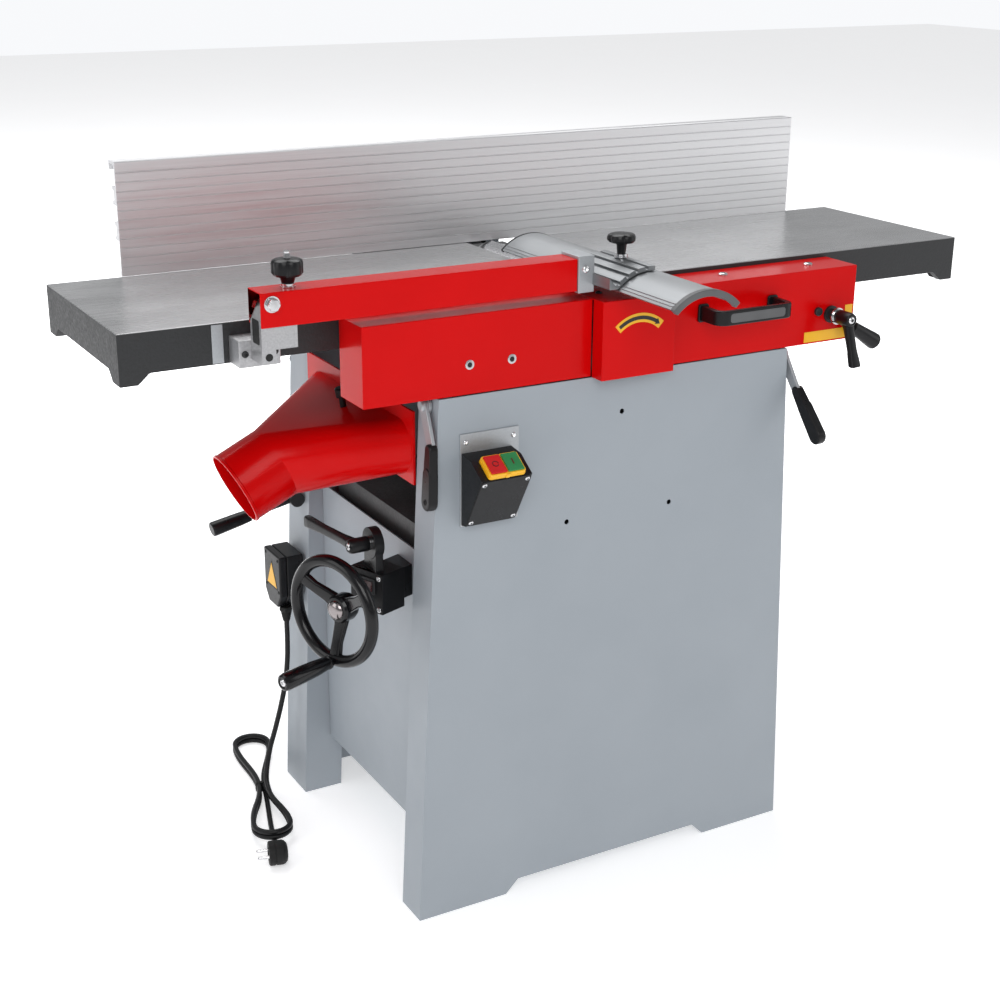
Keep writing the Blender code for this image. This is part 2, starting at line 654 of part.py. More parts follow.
def fence_levers():
    clamp_lever("fence_slide_lever", Vector((BAR_X - 0.0803, 0.222, 0.872)), (-1, 0, 0), (0, 1, 0.12), 0.070)


def clamp_lever(name, base, axis, arm, reach, finish="black_plastic"):
    """A clamping lever: a hub on the axis and a tapering arm that ends in a knob."""
    axis, arm = Vector(axis).normalized(), Vector(arm).normalized()
    profile = [(0, 0.008), (0.004, 0.010), (0.026, 0.010), (0.030, 0.007)]
    hub = turned(name, profile, base, axis, finish, base, steps=16)
    start = base + axis * 0.019
    weld(hub, turned(f"{name}_arm", [(0, 0.0065), (reach * 0.7, 0.0060), (reach - 0.004, 0.0085), (reach, 0.004)],
                     start, arm, finish, steps=12))
    return hub


# ---------------------------------------------------------------- bed and lift

def thickness_bed():
    pivot = (0, 0, BED_LOW)
    low, high = (-BED_HALF[0], -BED_HALF[1], BED_LOW), (BED_HALF[0], BED_HALF[1], BED_HIGH)
    bed = box("thickness_bed", low, high, "cast_iron", pivot)
    for side in (-1, 1):
        for half in (-1, 1):
            x = sorted((side * 0.030, side * (BED_HALF[0] - 0.012)))
            y = sorted((half * 0.005, half * (BED_HALF[1] - 0.012)))
            low, high = (x[0], y[0], BED_LOW - 0.01), (x[1], y[1], BED_HIGH - 0.014)
            cut(bed, box(f"bed_bay_{side}_{half}", low, high, "steel"))
    for side in (-1, 1):
        foot, top = (0, side * POST_Y, 0.170), (0, side * POST_Y, BED_LOW + 0.005)
        weld(bed, rod(f"guide_post_{side}", foot, top, 0.011, "steel"))
    weld(bed, rod("lift_screw", (0, 0, 0.170), (0, 0, BED_LOW + 0.005), SCREW_RADIUS, "steel", steps=20))


def wheel_matrix():
    """Local +X runs along the handwheel's shaft into the machine, local +Z is up."""
    return Matrix.Translation(WHEEL) @ Matrix.Rotation(WHEEL_TURN, 4, "Z")


def on_shaft(distance, aside=0.0, up=0.0):
    return wheel_matrix() @ Vector((distance, aside, up))


def lift_drive():
    """Bevel nut round the screw, and the handwheel's shaft with its pinion."""
    bore = SCREW_RADIUS + GAP
    nut = [(0, 0.030), (0.012, 0.030), (0.020, 0.036), (0.026, 0.034), (0.026, bore), (0, bore)]
    turned("lift_nut", nut, (0, 0, YOKE_Z[1] + GAP), (0, 0, 1), "steel", (0, 0, YOKE_Z[1]), closed=True)
    reach = sqrt(WHEEL.x ** 2 + WHEEL.y ** 2)
    into = on_shaft(1.0) - WHEEL
    pinion = reach - 0.050
    shaft = turned("handwheel_shaft", [(0.030, 0.0065), (pinion, 0.0065), (pinion, 0.016), (pinion + 0.012, 0.016),
                                       (pinion + 0.020, 0.012)], WHEEL, into, "steel", WHEEL, steps=20)
    return shaft


def handwheel():
    frame = wheel_matrix()
    into = on_shaft(1.0) - WHEEL
    steps = 8
    angles = [2 * pi * k / steps for k in range(steps)]
    profile = [(WHEEL_TUBE * cos(a), WHEEL_RING + WHEEL_TUBE * sin(a)) for a in angles]
    wheel = turned("handwheel", profile, WHEEL, into, "black_plastic", WHEEL, steps=36, closed=True)
    hub_profile = [(0.006, 0.013), (0.010, 0.018), (0.028, 0.018), (0.030, 0.013)]
    hub = turned("handwheel_hub", hub_profile, WHEEL, into, "black_plastic")
    weld(wheel, hub)
    for index in range(3):
        angle = radians(180 + 120 * index)
        direction = frame.to_3x3() @ Vector((0, sin(angle), cos(angle)))
        start = on_shaft(0.018) + direction * 0.010
        end = on_shaft(0.001) + direction * WHEEL_RING
        weld(wheel, rod(f"spoke_{index}", start, end, 0.0065, "black_plastic", steps=8))
    base = on_shaft(-WHEEL_TUBE - GAP, 0, -WHEEL_RING)
    grip = [(0, 0.006), (0.006, 0.008), (0.020, 0.0105), (CRANK_LENGTH - 0.012, 0.0105),
            (CRANK_LENGTH - 0.004, 0.008), (CRANK_LENGTH, 0.004)]
    turned("crank_grip", grip, base, -into, "black_plastic", base, steps=16)


def lift_housing():
    """Bearing housing for the handwheel's shaft, outside the left panel."""
    low, high = 0.434, 0.490
    shape = box_shape((0.060, -0.029, low - WHEEL.z), (0.102, 0.029, high - WHEEL.z))
    housing = solid("lift_housing", shape, "black_plastic", matrix=wheel_matrix())
    neck_shape = box_shape((0.095, -0.020, low - WHEEL.z + 0.006), (0.150, 0.020, high - WHEEL.z - 0.006))
    neck = solid("housing_neck", neck_shape, "black_plastic", matrix=wheel_matrix())
    weld(housing, neck)
    ear = rod("housing_ear", (-0.318, -0.120, 0.527), (-0.305, -0.120, 0.527), 0.021, "black_plastic", steps=20)
    post = box("housing_post", (-0.317, -0.138, 0.470), (-0.306, -0.102, 0.530), "black_plastic")
    weld(housing, ear, post)
    outside = box("housing_trim", (CAB_X - SIDE_PANEL - SHEET - GAP, -0.30, 0.38), (-0.10, 0.10, 0.56), "steel")
    bore = rod("housing_bore", on_shaft(0.04), on_shaft(0.20), 0.0065 + GAP, "steel")
    cut(housing, outside, bore)
    clamp_lever("bed_clamp_lever", Vector((-0.3183, -0.120, 0.527)), (-1, 0, 0), (-0.10, 1, -0.03), 0.125)


# ---------------------------------------------------------------- bridge guard

def guard_mount():
    box("guard_bracket", (-0.507, -0.1835, 0.801), (-0.455, -TABLE_SIDE - GAP, 0.834), "zinc_cast", fold_point())
    outline = [(-0.4915, 0.811), (-0.474, 0.811), (-0.474, 0.828), (-0.447, 0.828), (-0.447, 0.886),
               (-0.486, 0.886), (-0.4915, 0.876)]
    block = prism("guard_hinge_block", outline, "Y", ARM_Y[0] + SHEET + 2 * GAP, -0.1838, "zinc_cast", fold_point())
    for part, front, back, radius, steps in (("", ARM_Y[0] - 0.0035, ARM_Y[1] + 0.003, 0.004, 12),
                                             ("_head", ARM_Y[0] - 0.0085, ARM_Y[0] - 0.0005, 0.007, 6)):
        ends = [(ARM_PIVOT.x, y, ARM_PIVOT.z) for y in (front, back)]
        weld(block, rod(f"guard_bolt{part}", *ends, radius, "steel", steps=steps))


def guard_arm():
    """Folded channel, open below and at its left end, which swings on the hinge block's bolt."""
    arm = box("guard_arm", (ARM_X[0], ARM_Y[0], ARM_Z[0]), (ARM_X[1], ARM_Y[1], ARM_Z[1]), "red_paint", ARM_PIVOT)
    cut(arm, box("arm_inside", (ARM_X[0] - 0.01, ARM_Y[0] + SHEET, ARM_Z[0] - 0.01),
                 (ARM_X[1] - SHEET, ARM_Y[1] - SHEET, ARM_Z[1] - SHEET), "steel"))
    ends = [(ARM_PIVOT.x, y, ARM_PIVOT.z) for y in (ARM_Y[0] - 0.01, ARM_Y[1] + 0.01)]
    cut(arm, rod("arm_bore", *ends, 0.0043, "steel", steps=12))
    knob_base = Vector((-0.450, -0.2005, ARM_Z[1] + GAP))
    star_knob("guard_lift_knob", knob_base, 0.011, 0.019)


def star_knob(name, base, stem, head):
    """Fluted hand knob on a short stem."""
    flutes, steps = 5, 20
    hub = turned(name, [(0, 0.0075), (stem, 0.0075)], base, (0, 0, 1), "black_plastic", base, steps=12)
    outline = []
    for k in range(steps):
        angle = 2 * pi * k / steps
        radius = head * (0.90 + 0.10 * cos(flutes * angle))
        outline.append((base.x + radius * cos(angle), base.y + radius * sin(angle)))
    weld(hub, prism(f"{name}_head", outline, "Z", base.z + stem - 0.001, base.z + stem + 0.014, "black_plastic"))
    return hub


def guard_arch(half, rise, foot, wall, steps=12):
    """Outline of the arched guard's section: the outer arc and, back again, the inner one."""
    radius = (half * half + rise * rise) / (2 * rise)
    centre = (GUARD_X, foot + rise - radius)
    swing = atan2(half, radius - rise) * 180 / pi
    outer = arc(centre, radius, 90 + swing, 90 - swing, steps)
    inner = arc(centre, radius - wall, 90 - swing, 90 + swing, steps)
    return outer + inner


def bridge_guard():
    pivot = (GUARD_X, 0, GUARD_FOOT)
    prism("guard_profile", guard_arch(GUARD_HALF, GUARD_RISE, GUARD_FOOT, GUARD_WALL), "Y", GUARD_Y[0], GUARD_Y[1],
          "aluminium", pivot)
    prism("guard_end_cap", guard_arch(GUARD_HALF + 0.0015, GUARD_RISE + 0.0010, GUARD_FOOT - 0.0003, 0.0065), "Y",
          GUARD_CAP_Y[0], GUARD_CAP_Y[1], "black_plastic", pivot)


def guard_clamp():
    """Clamp on the arm's end: a block and a grooved profile that lies over the arched guard."""
    low, high = (ARM_X[1] + GAP, ARM_Y[0] - 0.002, 0.852), (-0.0430, ARM_Y[1] + 0.002, 0.899)
    block = box("guard_clamp", low, high, "aluminium", ARM_PIVOT)
    radius = (GUARD_HALF ** 2 + GUARD_RISE ** 2) / (2 * GUARD_RISE) + 0.0008
    centre = (GUARD_X, GUARD_FOOT + GUARD_RISE + 0.0008 - radius)
    under = arc(centre, radius, 134, 88, 8)
    upper = arc(centre, radius + 0.006, 88, 134, 8)
    outline = [(-0.0435, under[0][1])] + under + upper + [(-0.0435, upper[-1][1] + 0.010)]
    weld(block, prism("guard_clamp_profile", outline, "Y", -0.262, -0.150, "aluminium"))
    star_knob("guard_slide_knob", Vector((0.009, -0.200, GUARD_FOOT + GUARD_RISE + 0.0071 + 2 * GAP)), 0.016, 0.0185)


# ---------------------------------------------------------------- dust chute

def chute_ring(fraction, inset):
    """A ring of points between the round port (0) and the wide hood opening (1)."""
    steps = 32
    axis = PORT_AXIS.normalized()
    upward = Vector((0, 1, 0)).cross(axis).normalized()
    half_y = (HOOD_Y[1] - HOOD_Y[0]) / 2 - inset
    half_z = (HOOD_Z[1] - HOOD_Z[0]) / 2 - inset
    middle = Vector((HOOD_X, (HOOD_Y[0] + HOOD_Y[1]) / 2, (HOOD_Z[0] + HOOD_Z[1]) / 2))
    points = []
    for k in range(steps):
        angle = 2 * pi * (k + 0.5) / steps
        across, up = cos(angle), sin(angle)
        round_point = PORT_CENTRE + (Vector((0, 1, 0)) * across + upward * up) * (PORT_RADIUS - inset)
        straight = half_y - half_z
        flat_point = middle + Vector((0, (straight if across > 0 else -straight) + half_z * across, half_z * up))
        points.append(round_point.lerp(flat_point, fraction))
    return points


def dust_chute():
    axis = PORT_AXIS.normalized()
    outer = [[p + axis * PORT_LENGTH for p in chute_ring(0, 0)], chute_ring(0, 0), chute_ring(1, 0)]
    inner = [chute_ring(1, SHEET), chute_ring(0, SHEET), [p + axis * PORT_LENGTH for p in chute_ring(0, SHEET)]]
    chute = solid("dust_chute", loft_shape(outer + inner, closed=True), "red_paint")
    flange = box("chute_flange", (HOOD_X - 0.002, HOOD_Y[0] - 0.0035, HOOD_Z[0] - 0.006),
                 (HOOD_X + 0.001, HOOD_Y[1] + 0.008, HOOD_Z[1] + 0.018), "red_paint")
    mouth = [[p + Vector((d, 0, 0)) for p in chute_ring(1, SHEET)] for d in (-0.003, 0.01)]
    opening = solid("chute_opening", loft_shape(mouth), "steel")
    cut(flange, opening)
    weld(chute, flange)


# ---------------------------------------------------------------- switch, levers

def switch():
    plate = (CAB_FRONT - GAP - 0.002, CAB_FRONT - GAP)
    box("switch_bracket", (-0.2355, plate[0], 0.567), (-0.151, plate[1], 0.690), "steel")
    back = plate[0] - GAP
    outline = [(back, 0.569), (-0.230, 0.571), (-0.273, 0.644), (-0.2445, 0.6622), (back, 0.6655)]
    prism("switch_box", outline, "X", SWITCH_X - SWITCH_HALF, SWITCH_X + SWITCH_HALF, "black_plastic")
    face_low, face_high = Vector((-0.273, 0.644)), Vector((-0.2445, 0.6622))
    along = (face_high - face_low).normalized()
    out = Vector((-along.y, along.x))
    frame = [face_low + along * 0.0005 + out * GAP, face_high - along * 0.0005 + out * GAP,
             face_high - along * 0.0005 + out * 0.008, face_low + along * 0.0005 + out * 0.008]
    outline = [tuple(p) for p in frame]
    bezel = prism("switch_frame", outline, "X", SWITCH_X - 0.0265, SWITCH_X + 0.0265, "yellow_plastic")
    middle = (face_low + face_high) / 2
    for name, x, finish in (("stop_button", SWITCH_X - 0.0122, "button_red"),
                            ("start_button", SWITCH_X + 0.0122, "button_green")):
        pocket = button_shape(x, 0.0110 + GAP, 0.0140 + GAP, middle, along, out, 0.001, 0.02)
        cut(bezel, solid(f"{name}_pocket", pocket, "steel"))
        solid(name, button_shape(x, 0.0110, 0.0140, middle, along, out, 0.0040, 0.0100), finish,
              (x, middle.x, middle.y))


def button_shape(x, half_width, half_height, middle, along, out, low, high):
    corners = [middle - along * half_height + out * low, middle + along * half_height + out * low,
               middle + along * half_height + out * high, middle - along * half_height + out * high]
    return prism_shape([tuple(p) for p in corners], "X", x - half_width, x + half_width)


def bar_outline(start, end, near, far):
    """A tapering bar with round ends, about the line from start to end; near and far are its half widths."""
    angle = degrees(atan2(end[1] - start[1], end[0] - start[0]))
    return arc(start, near, angle + 90, angle + 270, 8) + arc(end, far, angle - 90, angle + 90, 8)


def lock_levers():
    """Table lock levers on the cabinet's sides, each with a washer, a flat steel arm and a thick grip."""
    for name, side, y, bend, tip in (("left_lock_lever", -1, -0.190, (-0.028, -0.054), (-0.029, -0.117)),
                                     ("right_lock_lever", 1, -0.198, (-0.028, -0.040), (-0.078, -0.100))):
        pivot = Vector((side_x(side, LOCK_PIVOT_Z) + side * 2 * GAP, y, LOCK_PIVOT_Z))
        tilt = Matrix.Translation(pivot) @ Matrix.Rotation(-side * atan(CAB_TAPER), 4, "Y")
        washer = turned_shape([(0, 0.011), (0.005, 0.011)], (0, 0, 0), (side, 0, 0), steps=20)
        lever = solid(name, washer, "steel", pivot, tilt)
        layers = (("arm", (0, 0), bend, 0.009, 0.008, (0.0042, 0.0090)),
                  ("grip", bend, tip, 0.0095, 0.0115, (0.0020, 0.0150)))
        for part, start, end, near, far, depth in layers:
            x = sorted((side * depth[0], side * depth[1]))
            shape = prism_shape(bar_outline(start, end, near, far), "X", x[0], x[1])
            weld(lever, solid(f"{name}_{part}", shape, "steel", matrix=tilt))


def height_lever():
    """Infeed height lever on the right cover, with its clamp lever on the same axis."""
    face = CAB_FRONT - GAP
    base = Vector((HEIGHT_AXIS.x, face, HEIGHT_AXIS.z))
    profile = [(0, 0.012), (0.003, 0.012), (0.003, 0.008), (0.016, 0.008)]
    lever = turned("height_lever", profile, base, (0, -1, 0), "steel", base, steps=20)
    start = base + Vector((0, -0.010, 0))
    direction = Vector((0.074, -0.004, -0.046))
    grip = [(0, 0.004), (0.036, 0.004), (0.037, 0.0085), (0.078, 0.0115), (0.086, 0.007)]
    weld(lever, turned("height_lever_grip", grip,
                       start, direction, "black_plastic", steps=12))
    clamp_lever("height_clamp_lever", base + Vector((0, -0.016 - GAP, 0)), (0, -1, 0), (0.06, -0.25, -1), 0.064)


def feed_lever():
    """Feed lever on the rear left corner, on a cross pivot against the cabinet's flange."""
    across = Vector((0, 0.012, 0))
    lever = rod("feed_lever", FEED_PIVOT - across, FEED_PIVOT + across, 0.011, "steel", FEED_PIVOT, steps=20)
    grip = [(0, 0.005), (0.073, 0.005), (0.074, 0.009), (0.129, 0.0105), (0.135, 0.007)]
    weld(lever, turned("feed_lever_grip", grip,
                       FEED_PIVOT, Vector((-0.98, -0.03, -0.19)), "black_plastic", steps=12))


# ---------------------------------------------------------------- supply cord

def terminal_box():
    low, high = zip(TERMINAL_X, TERMINAL_Y, TERMINAL_Z)
    box("terminal_box", low, high, "black_plastic")
    base = Vector((CORD_EXIT.x, CORD_EXIT.y, TERMINAL_Z[0] - GAP))
    profile = [(0, 0.0095), (0.007, 0.0095), (0.007, 0.0080), (0.0110, 0.0078), (base.z - CORD_EXIT.z, 0.0052)]
    turned("cord_gland", profile, base, (0, 0, -1), "black_rubber", steps=16)


def catmull(points, spacing):
    """Points about spacing apart on a smooth curve through the given points."""
    smooth = []
    padded = [2 * points[0] - points[1]] + points + [2 * points[-1] - points[-2]]
    for a, b, c, d in zip(padded, padded[1:], padded[2:], padded[3:]):
        steps = max(1, round((c - b).length / spacing))
        for k in range(steps):
            t = k / steps
            bend = (2 * a - 5 * b + 4 * c - d) * t * t + (3 * b - a - 3 * c + d) * t ** 3
            smooth.append(0.5 * (2 * b + (c - a) * t + bend))
    return smooth + [points[-1]]


def cord_route():
    """From the gland straight down, then aside on to the top of the hank, in the hank's own directions."""
    points = [CORD_EXIT + Vector((0, 0, -GAP))]
    points += [hank_frame() @ Vector(p) for p in (
        (0.1374, 0.0497, 0.258), (0.1374, 0.0485, 0.225), (0.1370, 0.0440, 0.185), (0.1350, 0.0360, 0.145),
        (0.1330, 0.0260, 0.105), (0.1330, 0.0165, 0.072), (0.1390, 0.0100, 0.045),
        (0.1460, 0.0080, HANK_HEIGHT + 0.0031))]
    return points


def supply_cord():
    route = catmull(cord_route(), 2.5 * CORD_DIAMETER)
    curve = bpy.data.curves.new("power_cord", "CURVE")
    curve.dimensions = "3D"
    curve.bevel_depth = CORD_DIAMETER / 2
    curve.bevel_resolution = 2
    curve.use_fill_caps = True
    spline = curve.splines.new("POLY")
    spline.points.add(len(route) - 1)
    for point, place in zip(spline.points, route):
        point.co = (*place, 1.0)
    curve.materials.append(material("black_rubber"))
    obj = bpy.data.objects.new("power_cord", curve)
    bpy.context.scene.collection.objects.link(obj)


def hank_frame():
    """Local +X runs along the hank from its far end to its near end, on the floor."""
    along = (HANK_NEAR - HANK_FAR).normalized()
    return Matrix.Translation(HANK_FAR) @ Matrix.Rotation(atan2(along.y, along.x), 4, "Z")


def cord_hank():
    length = (HANK_NEAR - HANK_FAR).length
    half = HANK_HALF_WIDTH
    outline = arc((0, 0), half, 90, 270, 10) + arc((length, 0), half, -90, 90, 10)
    solid("cord_hank", prism_shape(outline, "Z", 0.0002, HANK_HEIGHT), "black_rubber", matrix=hank_frame())


def mains_plug():
    """Angled plug lying on its rim, with its two pins pointing away from the machine."""
    length = (HANK_NEAR - HANK_FAR).length
    neck_start = hank_frame() @ Vector((length + HANK_HALF_WIDTH + 0.0025, 0, NECK_HEIGHT))
    along = (HANK_NEAR - HANK_FAR).normalized()
    centre = neck_start + along * (0.026 + PLUG_RADIUS)
    centre.z = PLUG_RADIUS + 0.0002
    side = Vector((along.y, -along.x, 0))
    profile = [(-0.012, 0.015), (-0.008, PLUG_RADIUS), (0.012, PLUG_RADIUS), (0.015, 0.016)]
    body = turned("mains_plug", profile, centre, side, "black_rubber", steps=24)
    neck = [(0, 0.0065), ((centre - neck_start).length, 0.009)]
    weld(body, turned("plug_neck", neck, neck_start, centre - neck_start, "black_rubber", steps=12))
    for index, offset in enumerate((-0.0095, 0.0095)):
        pin = centre + along * offset + side * 0.012
        weld(body, rod(f"plug_pin_{index}", pin, pin + side * 0.020, 0.0024, "steel", steps=10))


def build():
    clear_scene()
    front_panel()
    rear_panel()
    side_panels()
    base_shelf()
    head_plates()
    cutter_block()
    feed_rollers()
    kickback_fingers()
    motor()
    drive_belt()
    table("outfeed_table", -1, fold_point())
    table("infeed_table", 1, fold_point())
    table_carriers()
    covers()
    grab_handle()
    fence()
    fence_support()
    fence_levers()
    thickness_bed()
    lift_drive()
    handwheel()
    lift_housing()
    guard_mount()
    guard_arm()
    bridge_guard()
    guard_clamp()
    dust_chute()
    switch()
    lock_levers()
    height_lever()
    feed_lever()
    terminal_box()
    supply_cord()
    cord_hank()
    mains_plug()


build()
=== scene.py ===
"""The look of a combined surface planer and thicknesser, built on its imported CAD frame.

Metres, +Z up. X runs along the tables, Y to the back, the floor is z = 0.
"""

from math import atan2, cos, pi, radians, sin

import bmesh
import bpy
from mathutils import Matrix, Vector


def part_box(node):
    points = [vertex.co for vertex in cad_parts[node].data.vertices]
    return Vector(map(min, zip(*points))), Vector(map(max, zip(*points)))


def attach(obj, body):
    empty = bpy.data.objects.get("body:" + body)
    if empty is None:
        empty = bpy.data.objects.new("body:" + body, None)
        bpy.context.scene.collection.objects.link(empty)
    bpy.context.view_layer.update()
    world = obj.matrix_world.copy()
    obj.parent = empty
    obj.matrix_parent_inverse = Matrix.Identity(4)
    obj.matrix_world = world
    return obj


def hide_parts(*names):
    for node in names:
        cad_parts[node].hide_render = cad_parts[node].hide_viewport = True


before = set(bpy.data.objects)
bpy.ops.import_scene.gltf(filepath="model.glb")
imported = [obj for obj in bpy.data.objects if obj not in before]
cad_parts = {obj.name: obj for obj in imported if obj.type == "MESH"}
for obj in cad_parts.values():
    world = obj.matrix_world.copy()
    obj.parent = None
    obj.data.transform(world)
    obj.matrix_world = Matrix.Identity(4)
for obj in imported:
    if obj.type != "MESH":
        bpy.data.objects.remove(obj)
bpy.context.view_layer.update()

# Directions
LEFT, RIGHT = (-1, 0, 0), (1, 0, 0)
FRONT, BACK = (0, -1, 0), (0, 1, 0)
UP, DOWN = (0, 0, 1), (0, 0, -1)

# Camera
CAMERA_PLACE = Vector((-1.15015, -1.9346, 1.30515))
CAMERA_YAW = radians(29.5416)
CAMERA_DOWN = radians(19.8282)
CAMERA_ROLL = radians(-0.413)
CAMERA_LENS = 58.9

# Sizes that the CAD model gives each sub-part
GAP = 0.0003
PAINT_EDGE = 0.849      # height on the tables where the paint ends and the ground top begins
CABINET_FRONT = -0.217
CABINET_MIDDLE, CABINET_HALF, CABINET_TAPER = 0.007, 0.3052, 0.0465
FENCE_X = (-0.5405, 0.5577)
FENCE_FACE, FENCE_DEPTH = 0.148, 0.026
FENCE_LOW, FENCE_HIGH = 0.8502, 0.9985
BAR_X = -0.095
GUARD_X, GUARD_HALF, GUARD_FOOT, GUARD_RISE, GUARD_WALL = 0.012, 0.0475, 0.86, 0.02, 0.003
ARM_END, ARM_TOP = -0.069, 0.8955
WHEEL = Vector((-0.38, -0.143, 0.452))
WHEEL_TURN = radians(20.6)
WHEEL_RING, WHEEL_TUBE, CRANK_LENGTH = 0.0685, 0.0085, 0.085
PORT_CENTRE = Vector((-0.397, 0.0, 0.615))
PORT_AXIS = Vector((-0.902, 0.0, -0.431)).normalized()
PORT_RADIUS, PORT_LENGTH = 0.05, 0.064
HOOD_X, HOOD_Y, HOOD_Z = -0.2705, (-0.158, 0.168), (0.618, 0.692)
SHEET = 0.002
SWITCH_X = -0.198
BUTTON_FOOT, BUTTON_TOP = (-0.273, 0.644), (-0.2445, 0.6622)      # ends of the sloped button face, Y and Z
LOCK_PIVOT_Z = 0.7255
HEIGHT_AXIS = Vector((0.35, CABINET_FRONT - GAP, 0.779))
FEED_PIVOT = Vector((-0.288, 0.205, 0.482))

# Fineness of the meshes
SHARP = radians(32)      # edges that turn by more than this are rounded, and shaded sharp
CHUTE_STEPS = 96         # points round the chute

# Supply cord
CORD_DIAMETER = 0.008
CORD_EXIT = Vector((-0.309, 0.2045, 0.288))
GLAND_TOP = 0.3117
HANK_FAR = Vector((-0.322, 0.35, 0.0))
HANK_NEAR = Vector((-0.392, 0.085, 0.0))
HANK_FOLD = 0.027        # half the width between the strands at each fold
HANK_WAIST = 0.0045      # half that width where the tie draws the strands together
HANK_LENGTH = (HANK_NEAR - HANK_FAR).length
HANK_ALONG = (HANK_NEAR - HANK_FAR).normalized()
# The hank's own frame: X runs from its far end to its near end, Y across it
HANK_FRAME = Matrix.Translation(HANK_FAR) @ Matrix.Rotation(atan2(HANK_ALONG.y, HANK_ALONG.x), 4, "Z")
CORD_LANDING = (0.173, 0.0072, 0.022)      # where the cord comes down on the hank, in that frame
PLUG_RADIUS = 0.018


# ---------------------------------------------------------------- materials

class Look:
    """A Principled material, with short ways to add procedural detail."""

    def __init__(self, name, **sockets):
        self.material = bpy.data.materials.new(name)
        self.material.use_nodes = True
        self.nodes = self.material.node_tree.nodes
        self.links = self.material.node_tree.links
        self.shader = self.nodes["Principled BSDF"]
        for socket, value in sockets.items():
            self.set(socket, value)
        self.place = self.nodes.new("ShaderNodeTexCoord").outputs["Object"]

    def feed(self, target, value):
        """Links a value to an input or sets it there; a colour comes without its alpha."""
        if isinstance(value, bpy.types.NodeSocket):
            self.links.new(value, target)
        elif target.type == "RGBA":
            target.default_value = (*value, 1.0)
        else:
            target.default_value = value

    def set(self, socket, value):
        self.feed(self.shader.inputs[socket.replace("_", " ").title().replace("Ior", "IOR")], value)

    def add(self, kind, inputs, **settings):
        made = self.nodes.new(f"ShaderNode{kind}")
        for name, value in settings.items():
            setattr(made, name, value)
        for index, value in inputs.items():
            self.feed(made.inputs[index], value)
        return made

    def noise(self, scale, detail=3.0, stretch=(1, 1, 1), roughness=0.5):
        place = self.add("Mapping", {"Vector": self.place, "Scale": stretch}).outputs[0]
        return self.add("TexNoise", {"Vector": place, "Scale": scale, "Detail": detail,
                                     "Roughness": roughness}).outputs[0]

    def spread(self, value, low, high, start=0.3, end=0.7):
        """Maps value from start..end onto low..high."""
        return self.add("MapRange", {"Value": value, "From Min": start, "From Max": end,
                                     "To Min": low, "To Max": high}).outputs[0]

    def tint(self, value, first, second, start=0.3, end=0.7):
        """A colour that runs from first to second as value goes from start to end."""
        ramp = self.add("ValToRGB", {"Fac": value})
        for element, place, colour in zip(ramp.color_ramp.elements, (start, end), (first, second)):
            element.position = place
            element.color = (*colour, 1.0)
        return ramp.outputs[0]

    def blend(self, factor, first, second):
        return self.add("Mix", {0: factor, 6: first, 7: second}, data_type="RGBA").outputs[2]

    def total(self, first, second, operation="ADD"):
        return self.add("Math", {0: first, 1: second}, operation=operation).outputs[0]

    def bump(self, height, strength, distance):
        made = self.add("Bump", {"Height": height, "Strength": strength, "Distance": distance})
        self.links.new(made.outputs[0], self.shader.inputs["Normal"])


def powder_coat(name, colour, shade, roughness, peel, shine=0.5):
    """Baked paint: faint mottling, a fine orange-peel surface and uneven gloss."""
    look = Look(name, specular_ior_level=shine)
    look.set("base_color", look.tint(look.noise(7.0, 4.0), colour, shade))
    look.set("roughness", look.spread(look.noise(30.0, 3.0), roughness - 0.04, roughness + 0.05))
    look.bump(look.total(look.noise(420.0, 2.0), look.noise(90.0, 1.0)), peel, 0.0006)
    return look.material


def ground_iron():
    """Table top: fine grinding lines along the table, mottled by oil; dark casting paint below the edge."""
    look = Look("ground_and_painted_iron")
    height = look.add("SeparateXYZ", {0: look.place}).outputs[2]
    top = look.spread(height, 0.0, 1.0, PAINT_EDGE, PAINT_EDGE + 0.0004)
    lines = look.noise(520.0, 3.0, (0.02, 1.0, 1.0))
    oil = look.noise(9.0, 5.0, (0.5, 1.0, 1.0), 0.6)
    metal = look.blend(look.spread(oil, 0.0, 1.0), (0.5, 0.502, 0.506), (0.6, 0.602, 0.607))
    cast = look.noise(260.0, 5.0)
    paint = look.tint(cast, (0.012, 0.013, 0.014), (0.022, 0.023, 0.025))
    look.set("base_color", look.blend(top, paint, metal))
    look.set("metallic", look.total(top, 0.9, "MULTIPLY"))
    ground = look.total(look.spread(lines, 0.22, 0.31), look.spread(oil, -0.02, 0.05))
    painted = look.spread(cast, 0.42, 0.62)
    look.set("roughness", look.add("Mix", {0: top, 2: painted, 3: ground}).outputs[0])
    fine = look.total(lines, 0.12, "MULTIPLY")
    coarse = look.total(cast, look.noise(60.0, 3.0))
    look.bump(look.add("Mix", {0: top, 2: coarse, 3: fine}).outputs[0], 0.35, 0.0012)
    return look.material


def casting(name, colour, shade, roughness=0.5, metallic=0.0, grain=260.0, relief=0.35):
    """Sand or die casting: a pebbled skin."""
    look = Look(name, metallic=metallic)
    skin = look.noise(grain, 5.0)
    look.set("base_color", look.tint(skin, colour, shade))
    look.set("roughness", look.spread(skin, roughness - 0.08, roughness + 0.12))
    look.bump(look.total(skin, look.noise(grain / 4, 3.0)), relief, 0.001)
    return look.material


def brushed_metal(name, colour, shade, roughness, along, metallic=1.0, relief=0.12):
    """Metal with fine parallel marks; along is the stretch that draws them out."""
    look = Look(name, metallic=metallic, anisotropic=0.4)
    marks = look.noise(700.0, 3.0, along)
    broad = look.noise(12.0, 3.0, along)
    look.set("base_color", look.tint(look.total(look.total(marks, broad), 0.5, "MULTIPLY"), colour, shade))
    look.set("roughness", look.spread(marks, roughness - 0.06, roughness + 0.08))
    look.bump(marks, relief, 0.0003)
    return look.material


